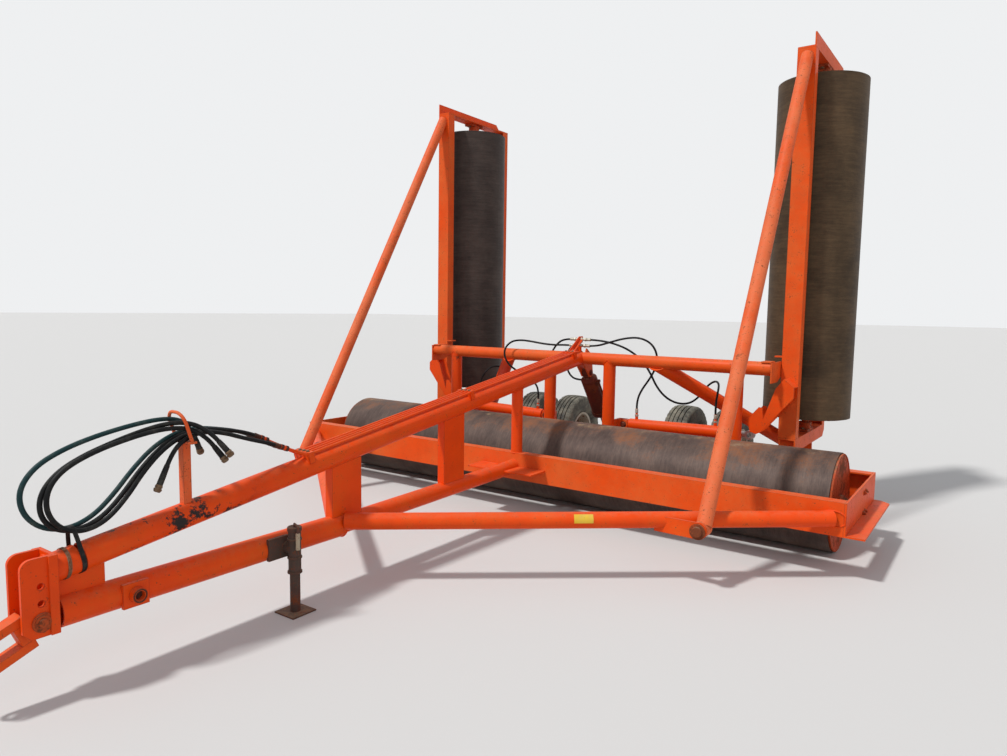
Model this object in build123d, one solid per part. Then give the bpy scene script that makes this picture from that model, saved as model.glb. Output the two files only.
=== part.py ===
from build123d import *
import os
from math import atan2, cos, degrees, hypot, pi, radians, sin, tan

# Towed three-section land roller, parked with its wings folded up, in millimetres.
# +Z is up, the machine faces -Y and its drums' axes lie along X when the wings are down.
# Every station along Y is measured from the centre drum's axis; save() moves the finished
# pieces by frame_shift, so that the origin is under the middle of the whole machine.

# Drums
drum_r = 381
drum_wall = 12
disc_recess = 60
disc_thick = 12
boss_long = 30
shaft_r = 30
fit = 0.05              # running clearance of every pin, shaft and rod
clear = 5               # least gap between moving pieces
hose_gap = 0.3          # between a hose and the piece of another body that it serves
drum_gap = 164          # end plate's inner face to the drum's end

# Bearings
bearing_hub_r = 62
bearing_reach = 84
bearing_plate = 24
bearing_long = 110
bearing_short = 52
bolt_r = 11
bolt_x = 84

# Centre frame: two channels and two end plates
frame_front = 705
frame_rear = 497
frame_half = 2705
beam_low = 315
beam_high = 550
beam_depth = 100
beam_wall = 12
end_thick = 16
end_flange = 120        # foot of the end plate, turned outwards
end_chamfer = 70
tube_wall = 8           # of every round frame tube

# Truss above the rear beam
cross_z = 1335
cross_r = 60
post_r = 60
post_x = (336, 1575)
foot_half = 80
foot_thick = 10
truss_y = frame_rear - beam_depth / 2
catch_thick = 12
brace_top = (905, 500, 1262)
brace_r = 57
brace_foot_y = 1560

# Wing hinge, parallel to the travel direction
hinge_x = 1960
hinge_z = 406
hinge_r = 45
hinge_rear = 1600
hinge_cap = 110
pin_r = 35

# Wing frame, folded up beside the hinge
wing_x0 = 1893
wing_x1 = 2041
wing_low = 700
wing_high = 4035
wing_front = 662
wing_rear = 1832
wing_wall = 10
wing_depth = 100
wing_flange = 104
flange_chamfer = 60
wing_drum_x = hinge_x + hinge_z - drum_r
wing_drum_y = (wing_front + wing_rear) / 2
wing_gap = 148
ear_thick = 25
ear_r = 75
ear_y = (702, 1355)
strut_r = 51
strut_foot = (1972, -1385, 425)
strut_top = (1974, wing_front, 3960)
sleeve_r = 55
sleeve_y = (-1437, -1345)
lever_front = 520
lever_plate = 12
stop_reach = 63
stop_z = 1425

# Drawbar
low_tube_r = 75
low_tube_z = 385
splice_y = -2720
splice_thick = 20
rear_tube_r = 62
rear_tube_z = 430
up_tube_r = 69
up_front = (0, -4330, 618)
up_rear = (0, truss_y, cross_z)
arm_r = 55
arm_front = (50, splice_y, 417)
arm_rear = (2620, -frame_front, 434)
hinge_plate = 20
hinge_plate_y = -1460
flat_post = 64
flat_post_y = ((-2808, -2556), (-1694, -1448))
small_post_r = 50
gusset_half = 330
gusset_reach = 215

# Hitch
head_y = -4463
head_reach = 110
head_low = 290
head_high = 705
head_half = 75
head_plate = 20
head_corner = 45
hole_r = 16
hole_z = (552, 473)
link_z = 388
link_pin_r = 20
link_pin_y = head_y - 71
link_washer_r = 44
link_droop = 22
link_length = 300
link_thick = 38
link_eye_r = 58
link_bore_r = 21
link_hub_r = 45

# Fold cylinder
fold_y = 590
fold_base = (453, 700)
fold_eye = (1670, 725)
fold_barrel_r = 56
fold_barrel_len = 985
fold_rod_r = 28
port_at = (121, fold_barrel_len - 83)    # stations of the two ports along the barrel
eye_r = 42
eye_wide = 60
eye_bore = 20
port_r = 15
port_high = 27
ferrule_r = 12
ferrule_long = 75

# Lift cylinder of the transport wheels
lift_base = (600, 1180)
lift_eye = (1100, 530)
lift_barrel_r = 67
lift_barrel_len = 560
lift_rod_r = 30
lift_port = 110         # station of the port along the barrel

# Transport frame and wheels
tyre_r = 400
tyre_half = 140
tyre_wall = 22
rim_r = 190
rim_half = 112
wheel_y = 1590
wheel_x = (690, 1190)
arm_x = 940
arm_half = 45
pivot_y = 600
pivot_z = 430
pivot_r = 45
axle_r = 25
hub_r = 48
hub_half = 60

# Parking jack
jack_x = 150
jack_y = -3205
jack_tube_r = 37
jack_leg_r = 30
jack_low = 240
jack_high = 520
jack_leg_top = 380
jack_foot = 85
jack_foot_thick = 8
socket_y = -4113        # second seat of the jack, empty while the machine stands

# Hydraulic lines on the upper drawbar tube
line_r = 9
line_x = (-54, -18, 18, 54)
line_up = 91            # above the tube's axis
clamp_y = (-2990, -1380, 250)
clamp_half = (72, 20)
hose_r = 12
rear_hose_r = 10
arc_share = 0.45         # of the shorter run, that each arc of a hose takes

reach_front = (-link_pin_y + (link_length + link_eye_r) * cos(radians(link_droop))
               + link_thick / 2 * sin(radians(link_droop)))
reach_rear = wheel_y + tyre_r
frame_shift = (reach_front - reach_rear) / 2

os.makedirs("parts", exist_ok=True)


def save(name, *solids):
    """Write one node as a STEP file, moved into the machine's own frame."""
    moved = [Pos(0, frame_shift, 0) * s for s in solids]
    shape = moved[0] if len(moved) == 1 else Compound(children=moved)
    export_step(shape, f"parts/{name}.step")


def bar(p, q, r):
    """Round bar from point p to point q."""
    a, b = Vector(*p), Vector(*q)
    return Solid.make_cylinder(r, (b - a).length, Plane(origin=a, z_dir=b - a))


def pipe(p, q, r, bore):
    return bar(p, q, r) - bar(p, q, bore)


def tube(p, q, r):
    """Frame tube from p to q with the common wall."""
    return pipe(p, q, r, r - tube_wall)


def block(x0, x1, y0, y1, z0, z1):
    return Pos((x0 + x1) / 2, (y0 + y1) / 2, (z0 + z1) / 2) * Box(x1 - x0, y1 - y0, z1 - z0)


def outline(corners):
    """Flat shape with straight sides."""
    return make_face(Polyline(*corners, close=True))


def plate_x(shape, x0, thick):
    """Flat shape drawn in (y, z), from x0 to x0 + thick."""
    return extrude(Plane(origin=(x0, 0, 0), x_dir=(0, 1, 0), z_dir=(1, 0, 0)) * shape, thick)


def plate_y(shape, y0, thick):
    """Flat shape drawn in (x, z), from y0 to y0 + thick."""
    return extrude(Plane(origin=(0, y0 + thick, 0), x_dir=(1, 0, 0), z_dir=(0, -1, 0)) * shape, thick)


def plate_z(shape, z0, thick):
    """Flat shape drawn in (x, y), from z0 to z0 + thick."""
    return extrude(Pos(0, 0, z0) * shape, thick)


def sides(solid):
    """The right-hand solid and its mirror image."""
    return {"r": solid, "l": mirror(solid, about=Plane.YZ)}


def both(solid):
    return list(sides(solid).values())


def save_sides(name, *solids):
    for side in ("r", "l"):
        save(f"{name}_{side}", *[sides(s)[side] for s in solids])


def lowest(shape):
    return shape.solids().sort_by(Axis.Z)[0]


# Centre frame
def channel(web, tip, low, high, wall):
    """Channel section: web at one depth, flanges reaching to tip."""
    inner = web + wall * (1 if tip > web else -1)
    return outline([(web, low), (tip, low), (tip, low + wall), (inner, low + wall),
                    (inner, high - wall), (tip, high - wall), (tip, high), (web, high)])


beam_half = frame_half - end_thick
front_beam = plate_x(channel(-frame_front, -frame_front + beam_depth, beam_low, beam_high, beam_wall),
                     -beam_half, 2 * beam_half)
rear_beam = plate_x(channel(frame_rear, frame_rear - beam_depth, beam_low, beam_high, beam_wall),
                    -beam_half, 2 * beam_half)
foot_tip = frame_half + end_flange
end_wall = block(beam_half, frame_half, -frame_front, frame_rear, beam_low, beam_high)
end_foot = plate_z(outline([(frame_half, -frame_front), (foot_tip, -frame_front),
                            (foot_tip, frame_rear - end_chamfer), (foot_tip - end_chamfer, frame_rear),
                            (frame_half, frame_rear)]), beam_low, beam_wall)
end_plate = end_wall + end_foot


# Drums and bearings, drawn along +X from the drum's middle and then turned into place
def drum_shell(half):
    return pipe((-half, 0, 0), (half, 0, 0), drum_r, drum_r - drum_wall)


def drum_end(half, gap):
    """Recessed end disc with its boss and stub shaft, for the +X end."""
    face = half - disc_recess
    disc = bar((face - disc_thick, 0, 0), (face, 0, 0), drum_r - drum_wall)
    boss = bar((face, 0, 0), (face + boss_long, 0, 0), 2 * shaft_r)
    shaft = bar((face, 0, 0), (half + gap - clear, 0, 0), shaft_r)
    return disc + boss + shaft


def bearing(half, gap):
    """Flanged bearing on the end plate's inner face, for the +X end; long side along Y."""
    wall = half + gap
    flange = block(wall - bearing_plate, wall, -bearing_long, bearing_long, -bearing_short, bearing_short)
    hub = bar((wall - bearing_reach, 0, 0), (wall, 0, 0), bearing_hub_r)
    hub = hub & block(wall - bearing_reach, wall, -bearing_hub_r, bearing_hub_r, -bearing_short, bearing_short)
    body = flange + hub - bar((wall - bearing_reach, 0, 0), (wall, 0, 0), shaft_r + fit)
    for y in (-bolt_x, bolt_x):
        body -= bar((wall - bearing_plate, y, 0), (wall, y, 0), bolt_r)
    return body


drum_half = beam_half - drum_gap
at_drum = Pos(0, 0, drum_r)
save("centre_drum", at_drum * drum_shell(drum_half))
save("centre_drum_ends", *[at_drum * s for s in both(drum_end(drum_half, drum_gap))])
save("centre_bearings", *[at_drum * s for s in both(bearing(drum_half, drum_gap))])

# Truss: cross tube on four posts, diagonal braces down to the rear hinges, catches for the wings
catch_x = wing_x0 - clear
cross_half = catch_x - catch_thick
cross_bar = bar((-cross_half, truss_y, cross_z), (cross_half, truss_y, cross_z), cross_r)
cross_tube = tube((-cross_half, truss_y, cross_z), (cross_half, truss_y, cross_z), cross_r)
posts = []
for x in post_x:
    post = tube((x, truss_y, beam_high), (x, truss_y, cross_z), post_r) - cross_bar
    foot = block(x - foot_half, x + foot_half, truss_y - beam_depth / 2, frame_rear,
                 beam_high, beam_high + foot_thick)
    posts += both(post + foot)
hinge_bar = bar((hinge_x, frame_rear, hinge_z), (hinge_x, hinge_rear, hinge_z), hinge_r)
hinge_tube = tube((hinge_x, frame_rear, hinge_z), (hinge_x, hinge_rear, hinge_z), hinge_r)
cap = bar((hinge_x, hinge_rear - hinge_cap, hinge_z), (hinge_x, hinge_rear, hinge_z), hinge_r + 20)
brace = tube(brace_top, (hinge_x, brace_foot_y, hinge_z + 30), brace_r) - cross_bar - hinge_bar
catch_end = plate_x(outline([(380, 1215), (560, 1215), (720, 1270), (720, 1390), (380, 1390)]),
                    cross_half, catch_thick)
catch_top = block(cross_half - 86, cross_half, truss_y - 50, truss_y + 75, cross_z + cross_r - 8,
                  cross_z + cross_r + 4)
catch = catch_end + (catch_top - cross_bar)

# Fold cylinder's clevis on the inner post
lug_gap = eye_wide + 4
lug_plate = 14
lug_half = 45
lug_x = fold_base[0]
lug_back_x = post_x[0] + 40
lug_shape = outline([(lug_back_x, fold_base[1] - lug_half), (lug_x, fold_base[1] - lug_half),
                     (lug_x, fold_base[1] + lug_half), (lug_back_x, fold_base[1] + lug_half)]) \
    + Pos(lug_x, fold_base[1]) * Circle(lug_half)
lug_near = fold_y - lug_gap / 2 - lug_plate
lug_far = fold_y + lug_gap / 2 + lug_plate
fold_lug = plate_y(lug_shape, lug_near, lug_plate) + plate_y(lug_shape, lug_far - lug_plate, lug_plate)
fold_lug += block(lug_back_x - 10, lug_back_x + 10, truss_y, lug_far, fold_base[1] - lug_half,
                  fold_base[1] + lug_half)
fold_lug += bar((lug_x, lug_near - 8, fold_base[1]), (lug_x, lug_far + 8, fold_base[1]), eye_bore)
fold_lug -= bar((post_x[0], truss_y, beam_high), (post_x[0], truss_y, cross_z), post_r)

# Lift cylinder's lug behind the cross tube
lift_lug_shape = outline([(truss_y, cross_z - 60), (lift_base[0] - 40, lift_base[1] - 20),
                          (lift_base[0] + 45, lift_base[1]), (lift_base[0] + 10, cross_z + 30),
                          (truss_y + 60, cross_z + 95)]) + Pos(*lift_base) * Circle(45)
lift_lug_x = eye_wide / 2 + 4
lift_lug = plate_x(lift_lug_shape, -lift_lug_x - lug_plate, lug_plate) + plate_x(lift_lug_shape, lift_lug_x, lug_plate)
lift_lug += bar((-lift_lug_x - lug_plate - 8, *lift_base), (lift_lug_x + lug_plate + 8, *lift_base), eye_bore)

# Transport pivot ears on the rear beam
ear = outline([(frame_rear, pivot_z - 60), (pivot_y, pivot_z - 40), (pivot_y, pivot_z + 40),
               (frame_rear, pivot_z + 60)]) + Pos(pivot_y, pivot_z) * Circle(40)
ear -= Pos(pivot_y, pivot_z) * Circle(eye_bore + fit)
for lug in both(plate_x(ear, arm_x + arm_half + 10, 20)):
    rear_beam += lug

save("centre_rear_beam", rear_beam)
save("centre_end_plates", *both(end_plate))
save("rear_braces", *both(brace - cap + hinge_tube + cap))
save("truss_brackets", *both(catch), *both(fold_lug))

# Drawbar
upper_bar = bar(up_front, up_rear, up_tube_r)
upper = tube(up_front, up_rear, up_tube_r) - cross_bar
front_ends = ((0, head_y + head_plate, low_tube_z), (0, splice_y, low_tube_z))
rear_ends = ((0, splice_y - splice_thick / 2, low_tube_z), (0, -frame_front + 20, rear_tube_z))
behind_beam = block(-frame_half, frame_half, -frame_front, 0, 0, cross_z)
splice = bar((0, splice_y - splice_thick, low_tube_z), (0, splice_y, low_tube_z), low_tube_r)
lower = tube(*front_ends, low_tube_r) + splice
lower += tube(*rear_ends, rear_tube_r) - behind_beam
lower_bar = bar(*front_ends, low_tube_r) + bar(*rear_ends, rear_tube_r)
arm_bar = bar(arm_front, arm_rear, arm_r)
arm_tube = tube(arm_front, arm_rear, arm_r) - behind_beam - lower_bar
arm_slope = (arm_rear[0] - arm_front[0]) / (arm_rear[1] - arm_front[1])
plate_root_x = arm_front[0] + (hinge_plate_y + hinge_plate / 2 - arm_front[1]) * arm_slope
lug_line = outline([(plate_root_x - 10, hinge_z - 52), (hinge_x, hinge_z - sleeve_r),
                    (hinge_x, hinge_z + sleeve_r), (plate_root_x - 10, hinge_z + 52)]) \
    + Pos(hinge_x, hinge_z) * Circle(sleeve_r)
tube_y_at_hinge = arm_front[1] + (hinge_x - arm_front[0]) / arm_slope
front_pin = bar((hinge_x, hinge_plate_y - 12, hinge_z), (hinge_x, tube_y_at_hinge, hinge_z), pin_r)
a_frame = arm_tube + plate_y(lug_line, hinge_plate_y, hinge_plate) + front_pin

for y0, y1 in flat_post_y:
    side_shape = outline([(y0, low_tube_z), (y1, low_tube_z), (y1, cross_z), (y0, cross_z)])
    posts.append(lowest(plate_x(side_shape, -flat_post / 2, flat_post) - upper_bar - lower_bar - both(arm_bar)))
small_post_y = -frame_front + beam_depth / 2
posts.append(lowest(tube((0, small_post_y, beam_high), (0, small_post_y, cross_z), small_post_r) - upper_bar))
gusset = plate_z(outline([(0, -frame_front - gusset_reach), (gusset_half, -frame_front),
                          (-gusset_half, -frame_front)]), rear_tube_z - beam_wall / 2, beam_wall) - lower_bar

# Seat for the jack in transport: a square plate with a short stub on the lower tube
socket_plate = block(low_tube_r - 14, low_tube_r + 8, socket_y - 65, socket_y + 65, low_tube_z - 62, low_tube_z + 62)
socket_stub = bar((low_tube_r, socket_y, low_tube_z), (low_tube_r + 45, socket_y, low_tube_z), 38)
socket_bore = bar((low_tube_r + 8, socket_y, low_tube_z), (low_tube_r + 45, socket_y, low_tube_z), 24)
lower += socket_plate - bar(*front_ends, low_tube_r - tube_wall / 2) + socket_stub - socket_bore

# Hitch head: channel with two side plates, their front corners cut
side_shape = outline([(head_y, head_low), (head_y, head_high), (head_y - head_reach + head_corner, head_high),
                      (head_y - head_reach, head_high - head_corner), (head_y - head_reach, head_low + head_corner),
                      (head_y - head_reach + head_corner, head_low)])
head_side = plate_x(side_shape, head_half - head_plate, head_plate)
head_side += block(head_half, head_half + 12, head_y - 20, head_y + head_plate, head_low, head_high)
head_side += bar((head_half, link_pin_y, link_z), (head_half + 8, link_pin_y, link_z), link_washer_r)
for z, r in [(z, hole_r) for z in hole_z] + [(link_z, link_pin_r)]:
    head_side -= bar((0, link_pin_y, z), (2 * head_half, link_pin_y, z), r)
web = block(-10, 10, head_y + head_plate, head_y + 240, low_tube_z, up_front[2]) - lower_bar - upper_bar
head = block(-head_half, head_half, head_y, head_y + head_plate, head_low, head_high) + both(head_side)[0]
head = head + both(head_side)[1] + web
head += bar((-head_half - 20, link_pin_y, link_z), (head_half + 20, link_pin_y, link_z), link_pin_r)

# Hitch link, drawn level and forwards from its pin, then drooped
hub_reach = head_half - head_plate - clear / 2
link_hub = pipe((-hub_reach, 0, 0), (hub_reach, 0, 0), link_hub_r, link_pin_r + fit)
link_strap = block(-40, 40, -link_length, -30, -link_thick / 2, link_thick / 2)
link_eye = bar((0, -link_length, -link_thick / 2), (0, -link_length, link_thick / 2), link_eye_r)
link = link_hub + (link_strap - bar((-80, 0, 0), (80, 0, 0), link_hub_r - 5)) + link_eye
link -= bar((0, -link_length, -link_thick), (0, -link_length, link_thick), link_bore_r)
link = Pos(0, link_pin_y, link_z) * Rot(link_droop, 0, 0) * link

save("centre_front_beam", front_beam + gusset)
save("cross_tube", cross_tube + (lift_lug - cross_bar - upper_bar))
save("tongue_lower", lower)
save("tongue_upper", upper)
save("a_frame", *both(a_frame))
save("frame_posts", *posts)
save("hitch_head", head - lower_bar - upper_bar)
save("hitch_link", link)

# Parking jack beside the drawbar's lower tube
jack_bore = bar((jack_x, jack_y, 0), (jack_x, jack_y, jack_high), jack_tube_r)
jack_tube = pipe((jack_x, jack_y, jack_low), (jack_x, jack_y, jack_high), jack_tube_r, jack_leg_r + fit)
jack_tube += bar((jack_x, jack_y, jack_high), (jack_x, jack_y, jack_high + 24), jack_tube_r + 5)
jack_tube += block(0, jack_x, jack_y - 34, jack_y + 34, low_tube_z - 40, low_tube_z + 40) - lower_bar - jack_bore
jack_leg = bar((jack_x, jack_y, 0), (jack_x, jack_y, jack_leg_top), jack_leg_r)
jack_leg += block(jack_x - jack_foot, jack_x + jack_foot, jack_y - jack_foot, jack_y + jack_foot,
                  0, jack_foot_thick)
save("jack_tube", jack_tube)
save("jack_leg", jack_leg)

# Wing frame, drawn folded up on the right-hand side
wing_in = wing_low + end_thick
wing_out = wing_high - end_thick


def wing_channel(web, tip):
    inner = web + wing_wall * (1 if tip > web else -1)
    return outline([(wing_x0, web), (wing_x1, web), (wing_x1, tip), (wing_x1 - wing_wall, tip),
                    (wing_x1 - wing_wall, inner), (wing_x0 + wing_wall, inner), (wing_x0 + wing_wall, tip),
                    (wing_x0, tip)])


wing_front_beam = plate_z(wing_channel(wing_front, wing_front + wing_depth), wing_in, wing_out - wing_in)
wing_rear_beam = plate_z(wing_channel(wing_rear, wing_rear - wing_depth), wing_in, wing_out - wing_in)
end_shape = outline([(wing_x0, wing_front), (wing_x1, wing_front), (wing_x1, wing_rear), (wing_x0, wing_rear)])
flange_shape = outline([(wing_front, 0), (wing_rear, 0), (wing_rear, wing_flange - flange_chamfer),
                        (wing_rear - flange_chamfer, wing_flange), (wing_front, wing_flange)])
outer_end = plate_z(end_shape, wing_out, end_thick) \
    + Pos(0, 0, wing_high) * plate_x(flange_shape, wing_x1 - beam_wall, beam_wall)
inner_end = plate_z(end_shape, wing_low, end_thick) \
    + Pos(0, 0, wing_low) * plate_x(mirror(flange_shape, about=Plane.XZ), wing_x1 - beam_wall, beam_wall)
ear_shape = outline([(hinge_x - ear_r, hinge_z), (hinge_x + ear_r, hinge_z), (wing_x1 - beam_wall - 2, wing_low),
                     (wing_x0, wing_low)]) + Pos(hinge_x, hinge_z) * Circle(ear_r)
ear_shape -= Pos(hinge_x, hinge_z) * Circle(hinge_r + fit)
for y0 in ear_y:
    inner_end += plate_y(ear_shape, y0, ear_thick)
wing_half = (wing_out - wing_in) / 2 - wing_gap
wing_mid = (wing_out + wing_in) / 2
at_wing = Pos(wing_drum_x, wing_drum_y, wing_mid) * Rot(0, -90, 0)

# Strut from the outer end of the wing down to the front hinge, cut along the hinge sleeve
strut = tube(strut_foot, strut_top, strut_r)
strut -= block(wing_x0 - 99, wing_x1 + 99, wing_front, wing_rear, stop_z, wing_high + 99)
strut -= block(wing_x0 - 99, wing_x1 + 99, sleeve_y[0] - 99, sleeve_y[0], 0, 2 * hinge_z)
strut -= block(wing_x0 - 99, wing_x1 + 99, sleeve_y[0] - 99, 0, 0, hinge_z)
strut += bar((hinge_x, sleeve_y[0], hinge_z), (hinge_x, sleeve_y[1], hinge_z), sleeve_r)
strut -= bar((hinge_x, sleeve_y[0] - 50, hinge_z), (hinge_x, sleeve_y[1] + 200, hinge_z), pin_r + fit)

# Fold lever: two plates and the cap between them, and the stop plate on the wing's front beam
lever_shape = outline([(1955, 1250), (wing_x1, 1178), (wing_x1, 1090), (1777, 769), (1742, 749), (1687, 765),
                       (1672, 820), (1636, 847), (1755, 989), (1787, 986), (1796, 888), (1889, 1161), (1927, 1212)])
lever = plate_y(lever_shape, lever_front, lever_plate) + plate_y(lever_shape, wing_front - lever_plate, lever_plate)
cap_shape = outline([(1955, 1250), (wing_x1, 1178), (wing_x1 - 8, 1168), (1947, 1240)])
lever += plate_y(cap_shape, lever_front, wing_front - lever_front)
stop_plate = block(wing_x0 - stop_reach, wing_x0, wing_front, wing_front + 80, stop_z, stop_z + lever_plate)

save_sides("wing_front_beam", wing_front_beam + stop_plate)
save_sides("wing_rear_beam", wing_rear_beam)
save_sides("wing_outer_end", outer_end)
save_sides("wing_inner_end", inner_end)
save_sides("wing_strut", strut)
save_sides("fold_lever", lever)
save_sides("wing_drum", at_wing * drum_shell(wing_half))
save_sides("wing_drum_ends", *[at_wing * s for s in both(drum_end(wing_half, wing_gap))])
save_sides("wing_bearings", *[at_wing * s for s in both(bearing(wing_half, wing_gap))])


# Cylinders, drawn along +X from the base eye and then turned into place
def cylinder_barrel(length, r, ports, ferrule):
    """Barrel with its base eye, gland ring, and ports on top, each with the ferrule of its hose."""
    body = bar((eye_r + 10, 0, 0), (length, 0, 0), r) + bar((length - 40, 0, 0), (length, 0, 0), r + 5)
    eye = bar((0, -eye_wide / 2, 0), (0, eye_wide / 2, 0), eye_r)
    neck = block(0, eye_r + 20, -eye_wide / 2, eye_wide / 2, -eye_r, eye_r)
    for x in ports:
        body += bar((x, 0, 0), (x, 0, r + port_high), port_r)
        body += bar((x, 0, r), (x, 0, r + port_high + ferrule), ferrule_r)
    return eye + neck + body - bar((0, -eye_wide, 0), (0, eye_wide, 0), eye_bore + fit)


def cylinder_rod(start, length, r):
    rod = bar((start, 0, 0), (length, 0, 0), r)
    eye = bar((length, -eye_wide / 2, 0), (length, eye_wide / 2, 0), eye_r)
    return rod + eye - bar((length, -eye_wide, 0), (length, eye_wide, 0), eye_bore)


fold_length = hypot(fold_eye[0] - fold_base[0], fold_eye[1] - fold_base[1])
fold_tilt = degrees(atan2(fold_eye[1] - fold_base[1], fold_eye[0] - fold_base[0]))
at_fold = Pos(fold_base[0], fold_y, fold_base[1]) * Rot(0, -fold_tilt, 0)
fold_bore = bar((2 * eye_r, 0, 0), (fold_barrel_len, 0, 0), fold_rod_r + fit)
lift_length = hypot(lift_eye[0] - lift_base[0], lift_eye[1] - lift_base[1])
lift_tilt = degrees(atan2(lift_eye[1] - lift_base[1], lift_eye[0] - lift_base[0]))
at_lift = Pos(0, *lift_base) * Rot(lift_tilt, 0, 0) * Rot(0, 0, 90)
lift_bore = bar((2 * eye_r, 0, 0), (lift_barrel_len, 0, 0), lift_rod_r + fit)
fold_barrel = cylinder_barrel(fold_barrel_len, fold_barrel_r, port_at, ferrule_long) - fold_bore
lift_pipe_y = lift_barrel_r + 2 * line_r
lift_stub_y = lift_barrel_r + 25
lift_barrel = cylinder_barrel(lift_barrel_len, lift_barrel_r, (), 0) - lift_bore
for x in (lift_port, lift_barrel_len - 70):
    lift_barrel += bar((x, 0, 0), (x, -lift_pipe_y - line_r - 3, 0), port_r) - lift_bore
lift_barrel += bar((lift_port, -lift_pipe_y, 0), (lift_barrel_len - 70, -lift_pipe_y, 0), line_r)
lift_barrel += bar((lift_port, 0, 0), (lift_port, lift_stub_y, 0), port_r) - lift_bore
save_sides("fold_barrel", at_fold * fold_barrel)
save_sides("fold_rod", at_fold * cylinder_rod(300, fold_length, fold_rod_r))
save("lift_barrel", at_lift * lift_barrel)
save("lift_rod", at_lift * cylinder_rod(300, lift_length, lift_rod_r))

# Transport frame: arms with their stub axles, pivot tube and pin, middle tube with the rod's lugs
arm_shape = outline([(pivot_y, pivot_z - 60), (wheel_y - 40, tyre_r - 60), (wheel_y + 50, tyre_r - 50),
                     (wheel_y + 50, tyre_r + 50), (wheel_y - 40, tyre_r + 60), (pivot_y, pivot_z + 60)]) \
    + Pos(pivot_y, pivot_z) * Circle(60)
inner = arm_x - arm_half
outer = arm_x + arm_half
arm = plate_x(arm_shape, inner, 2 * arm_half) \
    - plate_x(offset(arm_shape, -tube_wall), inner + tube_wall, 2 * (arm_half - tube_wall))
arm -= bar((inner, pivot_y, pivot_z), (outer, pivot_y, pivot_z), eye_bore)
arm += bar((wheel_x[0] - hub_half - 16, wheel_y, tyre_r), (wheel_x[1] + hub_half + 16, wheel_y, tyre_r), axle_r)
pivot_tube = bar((-inner, pivot_y, pivot_z), (inner, pivot_y, pivot_z), pivot_r)
pivot_tube += bar((-outer - 34, pivot_y, pivot_z), (outer + 34, pivot_y, pivot_z), eye_bore)
mid_tube = tube((-inner, lift_eye[0], pivot_z), (inner, lift_eye[0], pivot_z), pivot_r)
rod_lug_shape = outline([(lift_eye[0] - 60, pivot_z), (lift_eye[0] + 60, pivot_z), (lift_eye[0] + eye_r, lift_eye[1]),
                         (lift_eye[0] - eye_r, lift_eye[1])]) + Pos(*lift_eye) * Circle(eye_r)
rod_lug_x = eye_wide / 2 + 6
mid_tube += plate_x(rod_lug_shape, -rod_lug_x - lug_plate, lug_plate) + plate_x(rod_lug_shape, rod_lug_x, lug_plate)
save("transport_arms", *both(arm))
save("transport_tubes", pivot_tube, mid_tube)


# Wheels: implement tyre and dished rim, revolved about X
def tyre():
    """Tyre with an open inside, seated between the rim's flanges."""
    outside = [(0, tyre_r), (96, tyre_r), (130, tyre_r - 34), (tyre_half, 300), (106, rim_r + 24), (106, rim_r + 1)]
    inside = [(106 - tyre_wall, rim_r + 1), (tyre_half - tyre_wall, 300), (96, tyre_r - tyre_wall),
              (0, tyre_r - tyre_wall)]
    half = revolve(outline(outside + inside), Axis.X)
    return half + mirror(half, about=Plane.YZ)


def rim():
    """Rim with two flanges, dished disc and hub."""
    flange_r = rim_r + 18
    wall = tube_wall
    section = outline([(-rim_half, flange_r), (-rim_half, rim_r - wall), (rim_half, rim_r - wall), (rim_half, flange_r),
                       (rim_half - 6, flange_r), (rim_half - 6, rim_r), (6 - rim_half, rim_r), (6 - rim_half, flange_r)])
    disc = outline([(20, hub_r), (60, rim_r / 2), (60, rim_r - wall), (60 + wall, rim_r - wall),
                    (60 + wall, rim_r / 2 - wall), (20 + wall, hub_r)])
    hub = outline([(-hub_half, axle_r + fit), (hub_half, axle_r + fit), (hub_half, hub_r), (-hub_half, hub_r)])
    return revolve(section + disc + hub, Axis.X)


tyre_one = tyre()
rim_one = rim()
for side, sign in (("r", 1), ("l", -1)):
    places = [Pos(sign * x, wheel_y, tyre_r) for x in wheel_x]
    dish = Rot(0, 0, 0 if sign == 1 else 180)
    save(f"tyres_{side}", *[p * tyre_one for p in places])
    save(f"rims_{side}", *[p * dish * rim_one for p in places])

# Hydraulic lines on the upper drawbar tube, held by three clamps
slope = atan2(up_rear[2] - up_front[2], up_rear[1] - up_front[1])


def on_tube(x, y, up):
    """Point above the upper tube's axis at station y, square to the tube."""
    axis_z = up_front[2] + (y - up_front[1]) * tan(slope)
    return (x, y - up * sin(slope), axis_z + up * cos(slope))


line_front = clamp_y[0] - clamp_half[1]
line_rear = clamp_y[2] + 70
fitting_ends = ((-3330, 1052), (-3310, 1046), (-3240, 996), (-3225, 988))
fitting_long = 60
fitting_r = 15
lines = None
hose_starts = []
for x, (y_end, z_end) in zip(line_x, fitting_ends):
    bend = Vector(*on_tube(x, line_front, line_up))
    tip = Vector(x, y_end, z_end)
    fitting = tip - (tip - bend).normalized() * fitting_long
    piece = bar(on_tube(x, line_rear, line_up), bend, line_r) + bar(bend, tip, line_r) + bar(fitting, tip, fitting_r)
    lines = piece if lines is None else lines + piece
    hose_starts.append((tip, (tip - bend).normalized()))
for y in clamp_y:
    clamp = Pos(*on_tube(0, y, (line_up + line_r + 4 + up_tube_r / 2) / 2)) * Rot(degrees(slope), 0, 0) \
        * Box(2 * clamp_half[0], 2 * clamp_half[1], line_up + line_r + 4 - up_tube_r / 2)
    lines += clamp - upper_bar
bulk_x = -35
bulk_union = ((505, 1455), (520, 1517))
union_ends = (-75, 75)  # from the arm's middle
union_r = 13
arm_thick = 10
bulk_arm = plate_x(outline([(250, 1385), (300, 1385), (560, 1490), (560, 1548), (490, 1548)]),
                   bulk_x - arm_thick / 2, arm_thick)
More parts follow.
